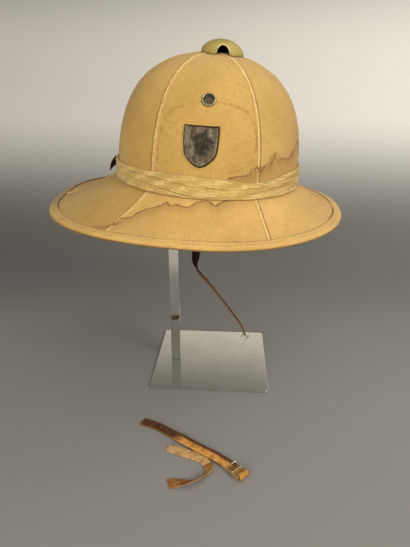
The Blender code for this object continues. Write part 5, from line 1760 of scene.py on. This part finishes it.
@dataclass
class GroundStrap:
    """The strap's buckle end, the torn strip and the buckle, on the ground before the stand."""

    x: float = 0.0357
    y: float = -0.2076
    turn: float = math.radians(-46.0)
    length: float = 0.1239
    fold_back: float = 0.0240
    width: float = 0.0120
    thickness: float = 0.0017
    gap: float = 0.0003
    buckle_length: float = 0.0187
    buckle_width: float = 0.0152
    bar: float = 0.0013
    bar_height: float = 0.0012
    torn_reach: float = 0.0720
    torn_width: float = 0.0116
    # shares of the length behind the buckle and aside, and the lift
    rows: tuple = (
        (1.000, -0.236, 0.00), (0.862, -0.174, 0.00), (0.776, -0.150, 0.00), (0.685, -0.130, 0.30),
        (0.606, -0.115, 0.85), (0.500, -0.094, 1.05), (0.373, -0.062, 1.00), (0.232, -0.025, 1.00),
        (0.110, -0.004, 1.00),
    )
    # shares of the reach behind the buckle and aside, the width, and the turn in degrees
    torn_rows: tuple = (
        (1.000, -0.444, 0.74, 0.0), (0.905, -0.392, 1.00, 0.0), (0.790, -0.340, 1.04, 0.0),
        (0.685, -0.288, 1.02, 0.0), (0.575, -0.236, 0.98, 0.0), (0.465, -0.208, 0.88, 0.0),
        (0.365, -0.222, 0.84, 5.0), (0.282, -0.260, 0.88, 28.0), (0.228, -0.325, 0.94, 42.0),
        (0.207, -0.414, 0.94, 47.0), (0.208, -0.500, 0.94, 49.0), (0.222, -0.575, 0.94, 45.0),
        (0.266, -0.640, 0.94, 30.0), (0.330, -0.700, 0.96, 12.0), (0.393, -0.765, 0.98, 2.0),
        (0.448, -0.831, 1.00, 0.0),
    )

    def matrix(self) -> Matrix:
        """Place of the buckle on the ground: X towards its end bar, Z up."""
        return Matrix.Translation((self.x, self.y, 0.0)) @ Matrix.Rotation(self.turn, 4, "Z")

    def build(self, finishes: Finishes) -> None:
        """Make the three pieces."""
        half = self.thickness / 2
        under = half + self.gap / 3
        over = under + self.thickness + self.gap
        bar_top = over + half + self.gap + self.bar_height
        bar_x = self.buckle_length / 2 - self.bar / 2
        wrap = self.bar / 2 + self.gap + half
        middle = (bar_top + over + half) / 2
        rows = [(-behind * self.length, aside * self.length, under + lift * (over - under)) for behind, aside, lift in self.rows]
        rows += [
            (bar_x - 4.6 * wrap, 0.0, over), (bar_x - 3.0 * wrap, 0.0, over + 0.15 * wrap),
            (bar_x - 1.7 * wrap, 0.0, middle + 0.4 * wrap), (bar_x - 0.8 * wrap, 0.0, bar_top + self.gap + half),
            (bar_x + 0.3 * wrap, 0.0, bar_top + self.gap + 1.2 * half), (bar_x + 1.25 * wrap, 0.0, middle + 0.3 * wrap),
            (bar_x + 1.35 * wrap, 0.0, middle - 0.9 * wrap), (bar_x + 0.7 * wrap, 0.0, under + 0.25 * wrap),
            (bar_x - 0.6 * wrap, 0.0, under), (bar_x - 3.0 * wrap, 0.0, under),
            (bar_x - self.fold_back / 2, 0.0, under), (bar_x - self.fold_back, 0.0, under),
        ]
        centres = smooth_rows(tuple(rows), 300)
        across = np.tile((0.0, 1.0, 0.0), (len(centres), 1))
        strap = Ribbon(centres, across, self.width, 0.96 * self.thickness, ragged_start=0.0016, seed=9).surface()
        local = strap.points
        behind = -local[..., 0] / self.length
        # painted light along the stretch nearest the buckle, painted shade along its rear edge, and painted light on
        # the wrap over the end bar
        lit = smooth_step(-behind, -0.66, -0.54) * (1.0 - smooth_step(local[..., 0], -0.012, -0.004))
        rear_edge = smooth_step(local[..., 1] - self.aside(local[..., 0]), 0.0006, 0.0026)
        strap.marks["lit"] = np.clip(lit * (1.0 - 0.97 * rear_edge), 0.0, 1.0)
        strap.marks["lit"] = np.maximum(strap.marks["lit"], 0.65 * smooth_step(local[..., 0], -0.006, 0.0))
        strap.marks["edge"] = strap.marks["edge"] * (1.0 - 0.9 * rear_edge)
        strap.points = moved(local, self.matrix())
        add_piece("strap_fragment_leather", [strap], finishes.leather, ("strap_fragment",))
        self.build_torn(finishes)
        self.build_buckle(finishes, over + half + self.gap)

    def aside(self, lengthwise: np.ndarray) -> np.ndarray:
        """How far the strap's middle lies aside of the buckle's line."""
        table = np.array(self.rows)[::-1]
        return self.length * np.interp(-lengthwise / self.length, table[:, 0], table[:, 1])

    def build_torn(self, finishes: Finishes) -> None:
        """The torn strip: flat where its flesh side shows, and leaning through its bend."""
        path = smooth_rows(self.torn_rows, 200)
        widths = self.torn_width * path[:, 2]
        turns = np.radians(path[:, 3:4])
        height = self.thickness / 2 + self.gap / 3 + widths[:, None] / 2 * np.sin(turns)
        centres = np.concatenate([-self.torn_reach * path[:, :1], self.torn_reach * path[:, 1:2], height], axis=1)
        up = np.array([0.0, 0.0, 1.0])
        level = unit(np.cross(up, np.gradient(centres, axis=0)))
        sides = level * np.cos(turns) + up * np.sin(turns)
        run = np.linspace(0.0, 1.0, len(path))
        ragged = 1.0 + 0.03 * np.sin(run * 61.0) + 0.02 * np.sin(run * 133.0 + 1.0)
        strip = Ribbon(centres, sides, widths * ragged, 0.94 * self.thickness, ragged_start=0.0007, ragged_end=0.0022, seed=13).surface()
        shares = np.concatenate([[0.0] * 3, run, [1.0] * 3])[:, None]
        pale = 1.0 - smooth_step(shares, 0.34, 0.46)
        strip.marks["flesh"] = np.broadcast_to(0.9 * pale, strip.points.shape[:2])
        # painted light, strongest where the strip leans through its bend
        strip.marks["lit"] = np.broadcast_to(0.30 + 0.6 * np.exp(-(((shares - 0.52) / 0.08) ** 2)), strip.points.shape[:2])
        strip.points = moved(strip.points, self.matrix())
        add_piece("strap_torn_leather", [strip], finishes.suede, ("strap_torn_strip",))

    def build_buckle(self, finishes: Finishes, floor: float) -> None:
        """The frame: rounded bars round two windows, with the middle bar between them."""
        level = floor + self.bar_height / 2
        half_x, half_y = self.buckle_length / 2 - self.bar / 2, self.buckle_width / 2 - self.bar / 2
        corner = 0.0016
        turns = np.linspace(0.0, math.pi / 2, 9)
        quarter = np.stack([np.cos(turns), np.sin(turns)], axis=-1) * corner
        loop = []
        for sign_x, sign_y, rows in ((1, 1, quarter), (-1, 1, quarter[::-1]), (-1, -1, quarter), (1, -1, quarter[::-1])):
            loop.append(rows * (sign_x, sign_y) + (sign_x * (half_x - corner), sign_y * (half_y - corner)))
        outline = np.concatenate(loop)
        closed = np.concatenate([outline, outline[:1]])
        run = np.concatenate([[0.0], np.cumsum(np.linalg.norm(np.diff(closed, axis=0), axis=1))])
        at = np.linspace(0.0, run[-1], 160, endpoint=False)
        path = np.stack([np.interp(at, run, closed[:, 0]), np.interp(at, run, closed[:, 1]), np.full(160, level)], axis=-1)
        bars = [tube(path, 0.5 * self.bar, 12, closed=True)]
        line = np.linspace(-half_y, half_y, 30)
        bars.append(tube(np.stack([np.zeros(30), line, np.full(30, level)], axis=-1), 0.46 * self.bar, 12, closed=False))
        for surface in bars:
            surface.points[..., 2] = level + (surface.points[..., 2] - level) * self.bar_height / self.bar
            surface.points = moved(surface.points, self.matrix())
        add_piece("buckle_bars", bars, finishes.buckle, ("buckle_frame",))


@dataclass
class Stand:
    """The mirror-polished plate and the post with its rest, with their edges broken."""

    plate_edge: float = 0.0005
    post_edge: float = 0.0007

    def softened(self, node: str, name: str, edge: float, material: bpy.types.Material) -> None:
        """A copy of a CAD node's mesh, merged, with its sharp edges rounded.

        Args:
            node: CAD node.
            name: Name of the new piece.
            edge: Radius of its edges.
            material: Its finish.
        """
        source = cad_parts[node]
        mesh = source.data.copy() if hasattr(source, "data") else bpy.data.objects[node].data.copy()
        mesh.name = name
        work = bmesh.new()
        work.from_mesh(mesh)
        bmesh.ops.remove_doubles(work, verts=work.verts, dist=1e-6)
        flat = math.radians(1.0)
        bmesh.ops.dissolve_limit(work, angle_limit=flat, verts=work.verts, edges=work.edges)
        work.to_mesh(mesh)
        work.free()
        mesh.materials.clear()
        mesh.materials.append(material)
        piece = bpy.data.objects.new(name, mesh)
        bpy.context.scene.collection.objects.link(piece)
        bevel = piece.modifiers.new("edges", "BEVEL")
        bevel.width = edge
        bevel.segments = 3
        bevel.limit_method = "ANGLE"
        bevel.angle_limit = math.radians(40.0)
        mesh.shade_smooth()
        mesh.set_sharp_from_angle(angle=math.radians(30.0))
        bevel.harden_normals = False
        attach(piece, BODY)
        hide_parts(node)
        log.info("%s: %d faces", name, len(mesh.polygons))

    def build(self, finishes: Finishes) -> None:
        """Make the plate and the post."""
        self.softened("stand_plate", "stand_plate_steel", self.plate_edge, finishes.steel)
        self.softened("stand_post", "stand_post_steel", self.post_edge, finishes.steel)


# Stage


@dataclass
class Studio:
    """A plain paper sweep, soft lights and the camera at the photograph's angle."""

    sweep_start: float = 0.55
    sweep_radius: float = 0.50
    wall_height: float = 2.2
    half_width: float = 3.0
    front: float = -2.2
    camera_at: tuple[float, float, float] = (0.02697, -0.56493, 0.3570)
    camera_pitch: float = math.radians(90.0 - 21.87)
    camera_heading: float = math.radians(3.66)
    focal_pixels: float = 465.0
    image_height: float = 547.0
    sensor: float = 36.0

    def sweep(self, finishes: Finishes) -> None:
        """Floor, quarter-round bend and wall, as one profile carried sideways."""
        bend = np.linspace(0.0, math.pi / 2, 24)
        profile = [(self.front, 0.0), (0.0, 0.0)]
        profile += [
            (self.sweep_start + self.sweep_radius * math.sin(turn), self.sweep_radius * (1 - math.cos(turn)))
            for turn in bend
        ]
        profile.append((self.sweep_start + self.sweep_radius, self.wall_height))
        rows = np.array(profile)
        across = np.array([-self.half_width, self.half_width])
        points = np.stack(np.broadcast_arrays(across[None, :], rows[:, :1], rows[:, 1:2]), axis=-1)
        mesh = make_mesh("studio_sweep", [Surface(points)], 60.0)
        if mesh.polygons[0].normal.z < 0:
            mesh.flip_normals()
        mesh.materials.append(finishes.paper)
        stage = bpy.data.objects.new("studio_sweep", mesh)
        bpy.context.scene.collection.objects.link(stage)

    @staticmethod
    def lamp(
        name: str, at: tuple, aim: tuple, size: float, power: float, colour: tuple, mirrored: bool = True
    ) -> None:
        """A square soft light.

        Args:
            name: Its name.
            at: Its place.
            aim: The point it faces.
            size: Its side in metres.
            power: Its power in watts.
            colour: Its colour.
            mirrored: False if polished steel doesn't show it.
        """
        light = bpy.data.lights.new(name, "AREA")
        light.energy = power
        light.size = size
        light.color = colour
        holder = bpy.data.objects.new(name, light)
        holder.location = at
        holder.rotation_euler = (Vector(aim) - Vector(at)).to_track_quat("-Z", "Y").to_euler()
        holder.visible_glossy = mirrored
        bpy.context.scene.collection.objects.link(holder)

    def build(self, finishes: Finishes) -> None:
        """Make the sweep, the lights, the surroundings and the camera."""
        self.sweep(finishes)
        self.lamp("key_light", (1.30, -1.25, 1.15), (0.0, 0.0, 0.25), 0.7, 21.0, (1.0, 0.97, 0.90))
        self.lamp("top_light", (0.2, -0.3, 1.80), (0.0, 0.0, 0.2), 1.0, 3.5, (1.0, 0.98, 0.95))
        self.lamp("fill_light", (-0.50, -1.75, 0.80), (0.0, 0.0, 0.22), 1.3, 25.0, (1.0, 0.98, 0.96), False)
        self.lamp("wall_light", (1.0, 0.50, 1.35), (0.45, 1.05, 0.75), 0.6, 7.5, (0.96, 0.98, 1.0))
        world = bpy.data.worlds.new("studio")
        world.use_nodes = True
        surroundings = world.node_tree.nodes["Background"]
        surroundings.inputs["Color"].default_value = (0.62, 0.59, 0.54, 1.0)
        surroundings.inputs["Strength"].default_value = 0.38
        bpy.context.scene.world = world
        bpy.context.scene.view_settings.view_transform = "Standard"
        camera = bpy.data.cameras.new("camera")
        camera.sensor_width = self.sensor
        camera.lens = self.sensor * self.focal_pixels / self.image_height
        holder = bpy.data.objects.new("camera", camera)
        holder.location = self.camera_at
        holder.rotation_euler = (self.camera_pitch, 0.0, self.camera_heading)
        bpy.context.scene.collection.objects.link(holder)
        bpy.context.scene.camera = holder


def main() -> None:
    """Build the stage, the helmet, its stand and its broken strap."""
    logging.basicConfig(level=logging.INFO, format="%(message)s")
    finishes = Finishes()
    Studio().build(finishes)
    Stand().build(finishes)
    Crown().build(finishes)
    Brim().build(finishes)
    Binding().build(finishes)
    Hatband().build(finishes)
    VentCap().build(finishes)
    Eyelets().build(finishes)
    Shield().build(finishes)
    FrontStrap().build(finishes)
    HangingStrap().build(finishes)
    GroundStrap().build(finishes)


if __name__ == "__main__":
    main()
